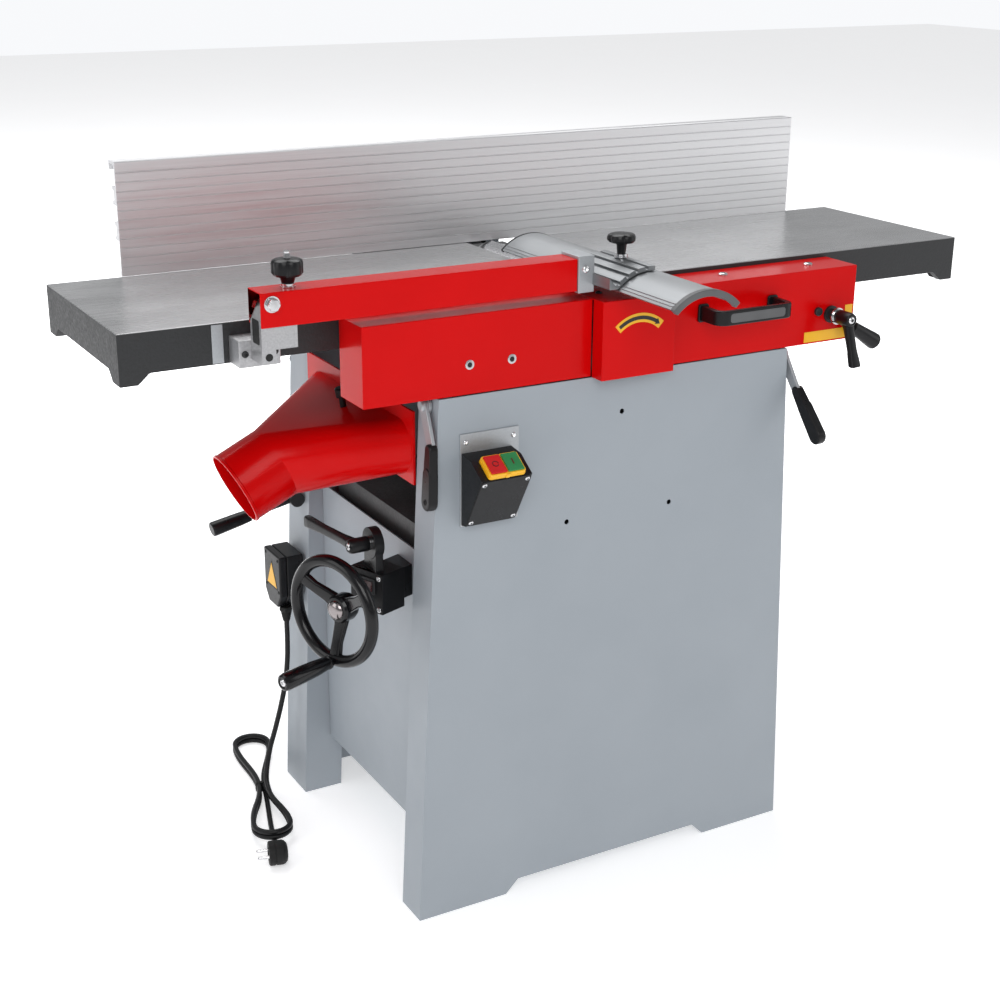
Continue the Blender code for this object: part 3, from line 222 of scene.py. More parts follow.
def plated_steel(name, colour, roughness):
    """Zinc or nickel plating: bright with cloudy patches."""
    look = Look(name, metallic=1.0)
    cloud = look.noise(120.0, 4.0)
    look.set("base_color", look.tint(cloud, colour, tuple(c * 1.25 for c in colour)))
    look.set("roughness", look.spread(cloud, roughness - 0.06, roughness + 0.1))
    look.bump(look.noise(500.0, 2.0), 0.08, 0.0003)
    return look.material


def moulded(name, colour, shade, roughness, grain=900.0, relief=0.15, specular=0.5):
    """Moulded plastic or rubber with a fine grain."""
    look = Look(name, specular_ior_level=specular)
    broad = look.noise(25.0, 3.0)
    look.set("base_color", look.tint(broad, colour, shade))
    look.set("roughness", look.spread(look.total(broad, look.noise(grain / 3, 2.0), "MULTIPLY"),
                                      roughness - 0.04, roughness + 0.1, 0.1, 0.4))
    look.bump(look.noise(grain, 3.0), relief, 0.0004)
    return look.material


LOOKS = {
    "cabinet": powder_coat("grey_powder_coat", (0.325, 0.36, 0.395), (0.345, 0.38, 0.415), 0.46, 0.1),
    "red": powder_coat("red_powder_coat", (0.6, 0.0012, 0.0016), (0.65, 0.0018, 0.0024), 0.2, 0.05, 0.12),
    "table": ground_iron(),
    "iron": casting("dark_casting", (0.02, 0.021, 0.022), (0.04, 0.041, 0.043)),
    "bed": casting("bed_casting", (0.03, 0.031, 0.033), (0.05, 0.051, 0.053), 0.45),
    "motor": casting("motor_paint", (0.045, 0.05, 0.055), (0.06, 0.065, 0.07), 0.45),
    "galvanised": casting("galvanised_sheet", (0.4, 0.42, 0.44), (0.46, 0.48, 0.5), 0.4, 0.55, 500.0, 0.05),
    "zinc": casting("zinc_casting", (0.42, 0.42, 0.43), (0.55, 0.55, 0.56), 0.42, 0.85, 400.0, 0.2),
    "fence": brushed_metal("anodised_fence", (0.74, 0.74, 0.75), (0.84, 0.84, 0.85), 0.42, (0.01, 1.0, 1.0)),
    "guard": brushed_metal("anodised_guard", (0.27, 0.28, 0.29), (0.35, 0.36, 0.37), 0.46, (1.0, 0.01, 1.0)),
    "steel": plated_steel("plated_steel", (0.5, 0.5, 0.51), 0.26),
    "chrome": plated_steel("chrome", (0.62, 0.62, 0.63), 0.12),
    "dark_chrome": plated_steel("dark_chrome", (0.3, 0.27, 0.27), 0.14),
    "black": moulded("black_moulding", (0.004, 0.004, 0.005), (0.007, 0.007, 0.008), 0.3, specular=0.3),
    "cord": moulded("cord_sheath", (0.005, 0.005, 0.006), (0.009, 0.009, 0.01), 0.42, 700.0, 0.2, 0.3),
    "gloss": moulded("gloss_moulding", (0.003, 0.003, 0.004), (0.006, 0.006, 0.007), 0.14, 500.0, 0.05, 0.35),
    "dark": moulded("dark_finish", (0.014, 0.015, 0.016), (0.022, 0.023, 0.025), 0.42, 800.0, 0.2, 0.4),
    "grey": moulded("grey_moulding", (0.085, 0.087, 0.09), (0.11, 0.112, 0.116), 0.4),
    # Near-black matte: painted shade in the hinge block's openings, the left cover's screw sockets and the
    # lock levers' eyes, and also the black printed border of the triangle plate
    "recess_shade_and_print": moulded("painted_recess_shade_and_black_print", (0.003, 0.003, 0.003), (0.006, 0.006, 0.006), 0.6),
    "mark": moulded("faint_mark", (0.1, 0.012, 0.014), (0.14, 0.016, 0.018), 0.4),
    "pane": moulded("smoked_pane", (0.03, 0.006, 0.008), (0.045, 0.008, 0.01), 0.1, 300.0, 0.03),
    "rubber": moulded("black_rubber", (0.007, 0.007, 0.007), (0.012, 0.012, 0.012), 0.55, 600.0, 0.25, 0.3),
    "yellow": moulded("yellow_moulding", (0.88, 0.45, 0.01), (0.93, 0.5, 0.015), 0.35),
    "button_red": moulded("red_moulding", (0.62, 0.01, 0.012), (0.7, 0.014, 0.016), 0.32),
    "button_green": moulded("green_moulding", (0.02, 0.24, 0.075), (0.03, 0.29, 0.095), 0.32),
}


# Slots of the looks that aren't black plastic
SLOTS = {
    "cabinet": "cabinet_grey", "red": "red_paint", "rubber": "black_rubber", "yellow": "yellow_plastic",
    **dict.fromkeys(("fence", "guard"), "aluminium"),
    **dict.fromkeys(("galvanised", "steel", "chrome", "dark_chrome", "dark"), "steel"),
}


# ---------------------------------------------------------------- CAD nodes that keep their shape

def round_edges(obj, width, segments):
    """Bevels the sharp edges and keeps the shading of the flat faces flat."""
    edge = obj.modifiers.new("edge", "BEVEL")
    edge.width = width
    edge.segments = segments
    edge.limit_method = "ANGLE"
    edge.angle_limit = SHARP
    edge.use_clamp_overlap = True
    weigh = obj.modifiers.new("weigh", "WEIGHTED_NORMAL")
    weigh.keep_sharp = False


def dress(node, look, width):
    """Gives a CAD node its look and, unless width is 0, joins its split corners and rounds its edges."""
    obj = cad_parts[node]
    obj.data.materials.clear()
    obj.data.materials.append(LOOKS[look])
    if width:
        join = obj.modifiers.new("join", "WELD")
        join.merge_threshold = 0.00001
        flat = obj.modifiers.new("flat", "DECIMATE")
        flat.decimate_type = "DISSOLVE"
        flat.angle_limit = radians(0.5)
        round_edges(obj, width, 2)


# Look, width of the rounded edges and the CAD nodes that have them
CAD_LOOKS = (
    ("cabinet", 0.0006, ("front_panel", "rear_panel", "left_panel", "right_panel", "base_shelf")),
    ("iron", 0.001, ("head_plate_front", "head_plate_rear", "table_carrier_left", "table_carrier_right",
                      "fence_bracket")),
    ("table", 0.0012, ("outfeed_table", "infeed_table")),
    ("bed", 0.001, ("thickness_bed",)),
    ("red", 0.0012, ("left_cover", "right_cover", "centre_cover", "guard_arm")),
    ("steel", 0.0004, ("cutter_block", "cutter_pulley", "motor_pulley", "outfeed_roller", "kickback_fingers",
                       "fold_pin_left", "fold_pin_right", "fence_bar", "lift_nut", "handwheel_shaft")),
    ("galvanised", 0.0004, ("switch_bracket",)),
    ("zinc", 0.0012, ("guard_bracket", "guard_hinge_block")),
    ("black", 0.0006, ("lift_housing", "switch_box")),
    ("rubber", 0.0, ("drive_belt",)),
    ("button_red", 0.0005, ("stop_button",)),
    ("button_green", 0.0005, ("start_button",)),
    ("motor", 0.0008, ("motor",)),
)


# ---------------------------------------------------------------- mesh helpers

def loft(rings, closed=False):
    """Skin over rings of points. A closed loft joins the last ring to the first, else its ends are capped."""
    bm = bmesh.new()
    rows = [[bm.verts.new(point) for point in points] for points in rings]
    following = rows[1:] + (rows[:1] if closed else [])
    for near, far in zip(rows, following):
        for k in range(len(near)):
            after = (k + 1) % len(near)
            bm.faces.new((near[k], near[after], far[after], far[k]))
    if not closed:
        bm.faces.new(list(reversed(rows[0])))
        bm.faces.new(rows[-1])
    bmesh.ops.recalc_face_normals(bm, faces=bm.faces)
    return bm


def plane(origin, right, up):
    """Matrix of a local frame whose X is right, whose Y is up and whose Z points out of that plane."""
    right = Vector(right).normalized()
    out = right.cross(Vector(up)).normalized()
    turn = Matrix((right, out.cross(right), out)).transposed()
    return Matrix.Translation(Vector(origin)) @ turn.to_4x4()


def facing(origin):
    """Matrix of a local frame in an upright plane that faces the operator."""
    return plane(origin, RIGHT, UP)


def ring(place, outline, depth):
    """An outline in a local XY plane, as points at that depth along local Z."""
    return [place @ Vector((x, y, depth)) for x, y in outline]


def along_line(origin, direction):
    """Matrix of a local frame whose Z runs along direction."""
    return Matrix.Translation(Vector(origin)) @ Vector(direction).to_track_quat("Z", "Y").to_matrix().to_4x4()


def prism(outline, place, low, high):
    """Outline in a local XY plane, drawn out along local Z."""
    return loft([ring(place, outline, depth) for depth in (low, high)])


def steps_round(count):
    """Angles of that many even steps round a circle."""
    return [2 * pi * k / count for k in range(count)]


def turned(profile, origin, direction, steps=32):
    """(distance, radius) pairs turned about a line."""
    place = along_line(origin, direction)
    angles = steps_round(steps)
    return loft([[place @ Vector((r * cos(a), r * sin(a), d)) for a in angles] for d, r in profile])


def block(low, high):
    outline = [(low[0], low[1]), (high[0], low[1]), (high[0], high[1]), (low[0], high[1])]
    return prism(outline, Matrix(), low[2], high[2])


def on_arc(centre, radius, degrees):
    """The point of a circle at that angle."""
    angle = radians(degrees)
    return (centre[0] + radius * cos(angle), centre[1] + radius * sin(angle))


def arc(centre, radius, start, end, steps):
    return [on_arc(centre, radius, start + (end - start) * k / steps) for k in range(steps + 1)]


def rounded(half_width, half_height, radius, steps=5):
    """Outline of a rectangle with round corners, about the origin."""
    outline = []
    for index, (x, y) in enumerate(((1, 1), (-1, 1), (-1, -1), (1, -1))):
        centre = (x * (half_width - radius), y * (half_height - radius))
        outline += arc(centre, radius, 90 * index, 90 * index + 90, steps)
    return outline


def bar_outline(start, end, near, far, steps=10):
    """A tapering bar with round ends about the line from start to end."""
    angle = atan2(end[1] - start[1], end[0] - start[0]) * 180 / pi
    return arc(start, near, angle + 90, angle + 270, steps) + arc(end, far, angle - 90, angle + 90, steps)


def joined(*shapes):
    """One mesh of several closed shapes."""
    whole = bmesh.new()
    for shape in shapes:
        mesh = bpy.data.meshes.new("part")
        shape.to_mesh(mesh)
        shape.free()
        whole.from_mesh(mesh)
        bpy.data.meshes.remove(mesh)
    return whole


def add_object(name, data):
    obj = bpy.data.objects.new(name, data)
    bpy.context.scene.collection.objects.link(obj)
    return obj


def piece(name, shape, look, body, replaces=None, edge=0.0, segments=3):
    """Makes a piece that rides on a body, shaded smooth apart from its sharp edges."""
    mesh = bpy.data.meshes.new(name)
    shape.to_mesh(mesh)
    shape.free()
    mesh.shade_smooth()
    mesh.set_sharp_from_angle(angle=SHARP)
    mesh.materials.append(LOOKS[look])
    obj = add_object(name, mesh)
    if edge:
        round_edges(obj, edge, segments)
    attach(obj, body)
    if replaces:
        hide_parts(replaces)
    return obj


# ---------------------------------------------------------------- fasteners and plates

def cap_screw(place, direction, radius, height, sides):
    """Button head whose socket has that many sides: six for a hexagon key, four for a cross."""
    matrix = along_line(place, direction)
    angles = steps_round(24)
    rings = [[matrix @ Vector((r * cos(a), r * sin(a), d)) for a in angles] for r, d in (
        (radius, 0), (radius, height * 0.45), (radius * 0.86, height * 0.8), (radius * 0.6, height))]
    for depth in (height, height * 0.3):
        socket = []
        for a in angles:
            swing = (a % (2 * pi / sides)) - pi / sides
            r = radius * 0.52 * cos(pi / sides) / cos(swing)
            socket.append(matrix @ Vector((r * cos(a), r * sin(a), depth)))
        rings.append(socket)
    return loft(rings)


def screws(name, places, direction, radius, height, look, body, sides=6):
    shapes = [cap_screw(place, direction, radius, height, sides) for place in places]
    return piece(name, joined(*shapes), look, body)


# ---------------------------------------------------------------- supply cord

def ease(value):
    """Slow start and slow end between 0 and 1."""
    value = min(1.0, max(0.0, value))
    return 0.5 - 0.5 * cos(pi * value)


def cord_run():
    """From the gland straight down, then aside on to the hank's top, in the hank's frame after the exit."""
    return [CORD_EXIT] + [HANK_FRAME @ Vector(p) for p in (
        (0.1374, 0.0497, 0.258), (0.1374, 0.0485, 0.225), (0.137, 0.044, 0.185), (0.135, 0.036, 0.145),
        (0.133, 0.026, 0.105), (0.133, 0.0165, 0.072), (0.139, 0.01, 0.045), (0.153, 0.0066, 0.0285),
        CORD_LANDING)]


def strand(length, side, start, end, height_from, height_to, ends=(0.0, 1.0), steps=14):
    """A strand between two folds, drawn in to the waist by the tie.

    Its height changes between the shares start and end of its length.
    """
    points = []
    for k in range(steps):
        part = ends[0] + (ends[1] - ends[0]) * k / steps
        across = HANK_WAIST + (HANK_FOLD - HANK_WAIST) * (0.5 + 0.5 * cos(2 * pi * part))
        rise = ease((part - start) / (end - start))
        points.append((length * part, side * across, height_from + (height_to - height_from) * rise))
    return points


def fold(centre, begin, end, height, steps=8):
    return [(x, y, height) for x, y in arc((centre, 0), HANK_FOLD, begin, end, steps)][:-1]


def hank_windings():
    """Two turns from the top layer down to the floor, then out below the near folds to the plug."""
    length = HANK_LENGTH
    top, middle, upper, rest = 0.0226, 0.0143, 0.0123, 0.004
    x, y, z = CORD_LANDING
    points = [(x + (length - x) * k / 5, y + (HANK_FOLD - y) * ease(k / 5), z + (top - z) * k / 5)
              for k in range(1, 5)]
    points += fold(length, 90, -90, top)
    points += strand(length, -1, 0.95, 0.55, top, upper, (1.0, 0.0))
    points += fold(0, -90, -270, upper)
    points += strand(length, 1, 0.6, 0.95, upper, middle)
    points += fold(length, 90, -90, middle)
    points += strand(length, -1, 0.95, 0.55, middle, rest, (1.0, 0.0))
    points += fold(0, -90, -270, rest)
    points += strand(length, 1, 0.6, 0.95, rest, rest, (0.0, 0.5), 8)
    for k in range(8):
        part = ease(k / 7)
        points.append((length * (0.5 + 0.5 * k / 7) + 0.005 * k / 7, HANK_WAIST * (1 - part), rest))
    points += [(length + 0.02, 0, rest + 0.0004), (length + 0.033, 0, 0.0066)]
    return [HANK_FRAME @ Vector(p) for p in points]


def catmull(points, spacing):
    """Points about spacing apart on a smooth curve through the given points."""
    smooth = []
    padded = [2 * points[0] - points[1]] + points + [2 * points[-1] - points[-2]]
    for a, b, c, d in zip(padded, padded[1:], padded[2:], padded[3:]):
        steps = max(1, round((c - b).length / spacing))
        for k in range(steps):
            t = k / steps
            bend = (2 * a - 5 * b + 4 * c - d) * t * t + (3 * b - a - 3 * c + d) * t ** 3
            smooth.append(0.5 * (2 * b + (c - a) * t + bend))
    return smooth + [points[-1]]


def supply_cord():
    route = catmull(cord_run() + hank_windings(), 0.6 * CORD_DIAMETER)
    curve = bpy.data.curves.new("supply_cord", "CURVE")
    curve.dimensions = "3D"
    curve.bevel_depth = CORD_DIAMETER / 2
    curve.bevel_resolution = 3
    curve.use_fill_caps = True
    spline = curve.splines.new("POLY")
    spline.points.add(len(route) - 1)
    for point, place in zip(spline.points, route):
        point.co = (*place, 1.0)
    spline.use_smooth = True
    curve.materials.append(LOOKS["cord"])
    cord = add_object("supply_cord", curve)
    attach(cord, "cabinet")
    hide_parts("power_cord", "cord_hank")
    relief = gland()
    plug = mains_plug()
    cord_tie()


def ribs(start, pitch, radius, growth, ends, depth):
    """(distance, radius) pairs of five ribs; ends gives the ends of a rib's crest, shoulder and groove."""
    profile = []
    for k in range(5):
        at, crest = start + pitch * k, radius + growth * k
        root = crest - depth
        profile += [(at, crest), (at + ends[0], crest), (at + ends[1], root), (at + ends[2], root)]
    return profile


def gland():
    """Hexagonal nut and a tapered strain relief with grooves round it."""
    base = Vector((CORD_EXIT.x, CORD_EXIT.y, GLAND_TOP))
    nut = turned([(0, 0.01), (0.001, 0.0106), (0.0055, 0.0106), (0.0065, 0.0098)], base, DOWN, 6)
    reach = GLAND_TOP - CORD_EXIT.z
    grooves = ribs(0.007, 0.003, 0.0084, -0.0006, (0.0018, 0.0021, 0.0027), 0.0011)
    profile = [(0.006, 0.0085)] + grooves + [(reach - 0.0008, 0.0054), (reach, 0.0048)]
    shape = joined(nut, turned(profile, base, DOWN, 24))
    return piece("cord_strain_relief", shape, "rubber", "cabinet", "cord_gland")


def cord_tie():
    """Twisted tie drawn round the four strands at the hank's waist."""
    waist = Matrix.Translation(Vector((HANK_LENGTH / 2, 0, 0.0086)))
    place = HANK_FRAME @ waist @ Matrix.Rotation(pi / 2, 4, "Y")
    rings = []
    for depth, grow in ((-0.003, 0.0), (-0.0024, 0.0008), (0.0024, 0.0008), (0.003, 0.0)):
        rings.append(ring(place, rounded(0.008 + grow * 0.5, 0.0088 + grow, 0.004, 6), depth))
    piece("cord_tie", loft(rings), "rubber", "cabinet")


def mains_plug():
    """Angled plug on its rim: a round body with a grip rim, a ribbed neck and two pins."""
    start = HANK_FRAME @ Vector((HANK_LENGTH + 0.0325, 0, 0.007))
    centre = start + HANK_ALONG * (0.026 + PLUG_RADIUS)
    centre.z = PLUG_RADIUS + 0.0002
    side = Vector((HANK_ALONG.y, -HANK_ALONG.x, 0))
    round_body = [(-0.0125, 0.009), (-0.0115, 0.013), (-0.0085, 0.0165), (-0.005, PLUG_RADIUS),
                  (0.004, PLUG_RADIUS), (0.0048, 0.0172), (0.006, 0.0172), (0.0068, PLUG_RADIUS),
                  (0.0135, PLUG_RADIUS), (0.015, 0.0165), (0.015, 0.011), (0.0138, 0.0105)]
    neck_line = centre - start
    neck = [(0.0, 0.0058)] + ribs(0.0015, 0.0036, 0.0064, 0.0004, (0.0022, 0.0026, 0.0032), 0.001)
    neck += [(0.0205, 0.0088), (neck_line.length - 0.01, 0.0105), (neck_line.length, 0.011)]
    shape = joined(turned(round_body, centre, side, 48), turned(neck, start, neck_line, 24))
    plug = piece("plug_body", shape, "rubber", "cabinet", "mains_plug")
    pin = [(0, 0.0024), (0.017, 0.0024), (0.0185, 0.0018), (0.019, 0.0008)]
    feet = [centre + HANK_ALONG * offset + side * 0.013 for offset in (-0.0095, 0.0095)]
    pins = [turned(pin, foot, side, 16) for foot in feet]
    piece("plug_pins", joined(*pins), "chrome", "cabinet")
    return plug


# ---------------------------------------------------------------- fence

def fence():
    """Extruded fence: fine grooves along its face, a hooked top edge, two T-slot rails and a foot behind."""
    face, low, high = FENCE_FACE, FENCE_LOW, FENCE_HIGH
    web, back = face + 0.004, face + FENCE_DEPTH
    outline = [(face + 0.0006, low), (face, low + 0.0006)]
    for k in range(11):
        z = low + 0.0125 + 0.0122 * k
        outline += [(face, z - 0.0009), (face + 0.0011, z - 0.0003), (face + 0.0011, z + 0.0003),
                    (face, z + 0.0009)]
    outline += [(face, high - 0.001), (face + 0.001, high), (back - 0.001, high), (back, high - 0.001),
                (back, high - 0.012), (back - 0.003, high - 0.012), (back - 0.003, high - 0.004),
                (web, high - 0.004)]
    for middle in (low + 0.104, low + 0.058):
        outline += [(web, middle + 0.012), (back - 0.008, middle + 0.012), (back - 0.008, middle + 0.007),
                    (back - 0.014, middle + 0.007), (back - 0.014, middle - 0.007),
                    (back - 0.008, middle - 0.007), (back - 0.008, middle - 0.012), (web, middle - 0.012)]
    outline += [(web, low + 0.006), (face + 0.008, low + 0.006), (face + 0.008, low)]
    profile = prism(outline, plane((0, 0, 0), BACK, UP), *FENCE_X)
    piece("fence_profile", profile, "fence", "fence", "fence")
    plate = prism(rounded(0.045, 0.0435, 0.006), facing((BAR_X, back - 0.0085, 0.9315)), -0.0085, 0)
    piece("fence_plate", plate, "steel", "fence", edge=0.0006)
    places = [(BAR_X + x, back, z) for x in (-0.032, 0.032) for z in (0.909, 0.955)]
    screws("fence_plate_screws", places, BACK, 0.0055, 0.0035, "chrome", "fence")


# ---------------------------------------------------------------- bridge guard

def arch_circle(half, rise, foot):
    """Centre and radius of the arc through both feet and the crown of an arch."""
    radius = (half * half + rise * rise) / (2 * rise)
    return (GUARD_X, foot + rise - radius), radius


def arch(half, rise, foot, wall, steps=40):
    """Section of the arched guard: its outer arc and, back again, its inner one, with thicker edges."""
    centre, radius = arch_circle(half, rise, foot)
    swing = atan2(half, radius - rise) * 180 / pi
    outer = arc(centre, radius, 90 + swing, 90 - swing, steps)
    return outer + arc(centre, radius - wall, 90 - swing, 90 + swing, steps)


def bridge_guard():
    across = facing((0, 0, 0))
    shell = prism(arch(GUARD_HALF, GUARD_RISE, GUARD_FOOT, GUARD_WALL), across, -0.03, 0.376)
    centre, radius = arch_circle(GUARD_HALF, GUARD_RISE, GUARD_FOOT)
    ridges = []
    for angle in (132, 128, 52, 48):
        x, z = on_arc(centre, radius + 0.0001, angle)
        ridges.append(turned([(0, 0.0007), (0.4055, 0.0007)], (x, -0.3758, z), BACK, 10))
    piece("guard_shell", joined(shell, *ridges), "guard", "bridge_guard", "guard_profile")
    front = arch(GUARD_HALF + 0.0015, GUARD_RISE + 0.001, GUARD_FOOT - GAP, 0.0085)
    piece("guard_front_cap", prism(front, across, 0.3763, 0.385), "grey", "bridge_guard", "guard_end_cap",
          edge=0.0012)
    rear = arch(GUARD_HALF + 0.001, GUARD_RISE + 0.0008, GUARD_FOOT - GAP, 0.005)
    piece("guard_rear_cap", prism(rear, across, -0.0345, -0.0303), "dark", "bridge_guard",
          edge=0.001)


def guard_clamp():
    """Clamp at the arm's end: a bracket with its screw, and a slotted profile over the arched guard."""
    bracket = block((ARM_END + GAP, -0.222, 0.852), (-0.0452, -0.179, 0.899))
    piece("guard_clamp_bracket", bracket, "galvanised", "guard_arm", "guard_clamp",
          edge=0.0012)
    centre, radius = arch_circle(GUARD_HALF, GUARD_RISE, GUARD_FOOT)
    radius += 0.0009
    foot_x = -0.048
    outline = [(foot_x, on_arc(centre, radius, 134)[1])] + arc(centre, radius, 134, 84, 16)
    for start, end in ((84, 92), (96, 104), (108, 116), (120, 128), (132, 134)):
        outline += arc(centre, radius + 0.0062, start, end, 4)
        if end < 134:
            outline += [on_arc(centre, radius + 0.0022, angle) for angle in (end + 0.4, end + 3.6)]
    outline.append((foot_x, outline[-1][1] + 0.01))
    bar = prism(outline, facing((0, 0, 0)), 0.15, 0.262)
    piece("guard_clamp_profile", bar, "guard", "guard_arm", edge=0.0003, segments=1)
    screws("guard_clamp_screws", [(-0.059, -0.222, 0.8825)], FRONT, 0.0052, 0.0036, "chrome", "guard_arm")


def hand_knob(name, base, body, stem, head_low, head_high, head, stud=0.0):
    """Mushroom knob with soft lobes on a stem, a bright collar and, if stud is a length, a stud on top."""
    lobes = 5
    middle = (head_low + head_high) / 2
    profile = [(head_low, 0.45, 0.0), (head_low + 0.0012, 0.86, 0.6), (head_low + 0.004, 1.0, 1.0),
               (middle, 1.0, 1.0), (head_high - 0.005, 1.0, 1.0), (head_high - 0.0022, 0.93, 0.9),
               (head_high - 0.0006, 0.78, 0.5), (head_high, 0.55, 0.1), (head_high + 0.0004, 0.2, 0.0)]
    rings = []
    for height, share, lobing in profile:
        level = []
        for angle in steps_round(70):
            wave = abs(cos(lobes * angle / 2)) ** 0.7
            radius = head * share * (1 - 0.13 * lobing * (1 - wave))
            level.append(Vector((base.x + radius * cos(angle), base.y + radius * sin(angle), height)))
        rings.append(level)
    reach = head_low - base.z
    shaft = turned([(0.0045, stem * 0.85), (reach - 0.003, stem), (reach + 0.001, stem * 1.25)], base, UP, 28)
    piece(f"{name}_head", joined(loft(rings), shaft), "black", body, body)
    metal = [turned([(0, 0.0088), (0.0016, 0.0088), (0.0018, 0.0078), (0.002, 0.0078), (0.0022, 0.0084),
                     (0.0044, 0.0084), (0.0048, 0.007)], base, UP, 28)]
    if stud:
        top = Vector((base.x, base.y, head_high - 0.001))
        thread = [(0, 0.0038)]
        for k in range(6):
            thread += [(0.0012 * k + 0.0006, 0.004), (0.0012 * k + 0.0012, 0.0036)]
        metal.append(turned(thread + [(stud - 0.001, 0.0038), (stud, 0.0028)], top, UP, 20))
    piece(f"{name}_collar", joined(*metal), "chrome", body)


def hinge_details():
    """Bright head of the arm's hinge bolt, flat patches of painted shade for the hinge block's two openings,
    and the table's pad beside it.
    """
    bolt = (-0.478, -0.2201, 0.882)
    washer = turned([(0, 0.0098), (0.0012, 0.0098)], bolt, FRONT, 28)
    head = turned([(0.001, 0.0079), (0.0074, 0.0079), (0.0086, 0.007)], bolt, FRONT, 6)
    piece("guard_hinge_bolt", joined(washer, head), "chrome", "table_unit", edge=0.0003, segments=1)
    places = [(-0.4995, -0.1836, 0.8175), (-0.4625, -0.1836, 0.8175)]
    screws("guard_bracket_screws", places, FRONT, 0.0042, 0.003, "dark", "table_unit")
    # A dark disc and a dark rounded patch, a hair proud of the block, paint the shade inside its bore and its
    # side window
    bore_shade = turned([(-0.001, 0.0046), (0.0002, 0.0046)], (-0.4828, -0.2174, 0.8195), FRONT, 28)
    side = plane((-0.4915, -0.2006, 0.8475), FRONT, UP)
    window = prism(rounded(0.0105, 0.0145, 0.003), side, -0.001, 0.0002)
    piece("guard_hinge_opening_shade", joined(bore_shade, window), "recess_shade_and_print", "table_unit")
    pad = block((-0.5275, -0.1508, 0.8015), (-0.5135, -0.1499, 0.848))
    piece("table_front_pad", pad, "galvanised", "table_unit", edge=0.0003, segments=1)


# ---------------------------------------------------------------- covers

def cover_details():
    """Screws of the folded covers, with flat hexagons of painted shade in the left cover's screw sockets, and
    a seal along the foot of the two long ones.
    """
    front = [(x, CABINET_FRONT, 0.778) for x in (-0.221, -0.161)]
    rim = [(-0.0004, 0.0062), (0.0005, 0.0062), (0.001, 0.005), (0.0009, 0.0036), (0.0002, 0.003)]
    rims = [turned(rim, place, FRONT, 28) for place in front]
    piece("left_cover_rims", joined(*rims), "steel", "table_unit")
    # Flat dark hexagons inside the rims paint the shade of the screw sockets
    sockets = [turned([(0, 0.0033), (0.0006, 0.0033)], place, FRONT, 6) for place in front]
    piece("left_cover_socket_shade", joined(*sockets), "recess_shade_and_print", "table_unit")
    top = [(x, -0.186, 0.844) for x in (0.184, 0.33)]
    screws("right_cover_screws", top, UP, 0.0064, 0.0036, "chrome", "table_unit")
    for side, (low, high) in (("left", (-0.24, -0.116)), ("right", (0.0945, 0.268))):
        seal = block((low, -0.2145, 0.735), (high, -0.205, 0.7404))
        piece(f"{side}_cover_seal", seal, "rubber", "table_unit", edge=0.0004, segments=1)
    head = [(x, -0.194, 0.8421) for x in (-0.02, 0.046)]
    screws("centre_cover_screws", head, UP, 0.0042, 0.0026, "dark", "cabinet")


def turning_arrow():
    """Plain arrow plate on the centre cover, for the way the cutter turns, and a blank corner plate."""
    face = facing((0.013, -0.2415, 0.767))
    middle = (0, 0)
    plate = prism(arc(middle, 0.0555, 132, 48, 24) + arc(middle, 0.0435, 48, 132, 24), face, 0.0, 0.0004)
    piece("arrow_plate", plate, "yellow", "cabinet", edge=0.0001, segments=1)
    shaft = prism(arc(middle, 0.0519, 128, 58, 20) + arc(middle, 0.0471, 58, 128, 20), face, 0.0004, 0.0006)
    tip = [on_arc(middle, radius, angle) for radius, angle in ((0.054, 59), (0.0493, 51), (0.045, 59))]
    piece("arrow_mark", joined(shaft, prism(tip, face, 0.0004, 0.0006)), "dark", "cabinet")
    left, inner, right, foot, step, top = 0.306, 0.376, 0.389, 0.7425, 0.757, 0.789
    label = [(left, foot), (right, foot), (right, top), (inner, top), (inner, step), (left, step)]
    plate = prism(label, facing((0, CABINET_FRONT, 0)), 0.0, 0.0004)
    piece("blank_plate", plate, "yellow", "table_unit")


def grab_handle():
    """Moulded strap handle with round corners and a grey inset along its front."""
    low_x, high_x, front, foot = 0.124, 0.25, -0.263, CABINET_FRONT - GAP
    thick, radius = 0.0085, 0.016
    low_corner, high_corner = (low_x + radius, front + radius), (high_x - radius, front + radius)
    outer = ([(low_x, foot)] + arc(low_corner, radius, 180, 270, 8)
             + arc(high_corner, radius, 270, 360, 8) + [(high_x, foot)])
    inside = radius - thick
    inner = ([(high_x - thick, foot)] + arc(high_corner, inside, 360, 270, 8)
             + arc(low_corner, inside, 270, 180, 8) + [(low_x + thick, foot)])
    strap = prism(outer + inner, Matrix(), 0.795, 0.815)
    feet = [prism(rounded(0.0085, 0.0125, 0.004), facing((x, foot, 0.805)), 0, 0.004)
            for x in (low_x + 0.0055, high_x - 0.0055)]
    piece("grab_strap", joined(strap, *feet), "black", "table_unit", "grab_handle", edge=0.0022)
    inset = prism(rounded(0.045, 0.0062, 0.004), facing((0.187, front, 0.805)), -0.0005, 0.0004)
    piece("grab_inset", inset, "grey", "table_unit", edge=0.0003, segments=1)


# ---------------------------------------------------------------- levers

def side_x(side, z):
    """X of the cabinet's tapering side at a height: side is -1 for the left one, 1 for the right."""
    return CABINET_MIDDLE + side * (CABINET_HALF - CABINET_TAPER * z)


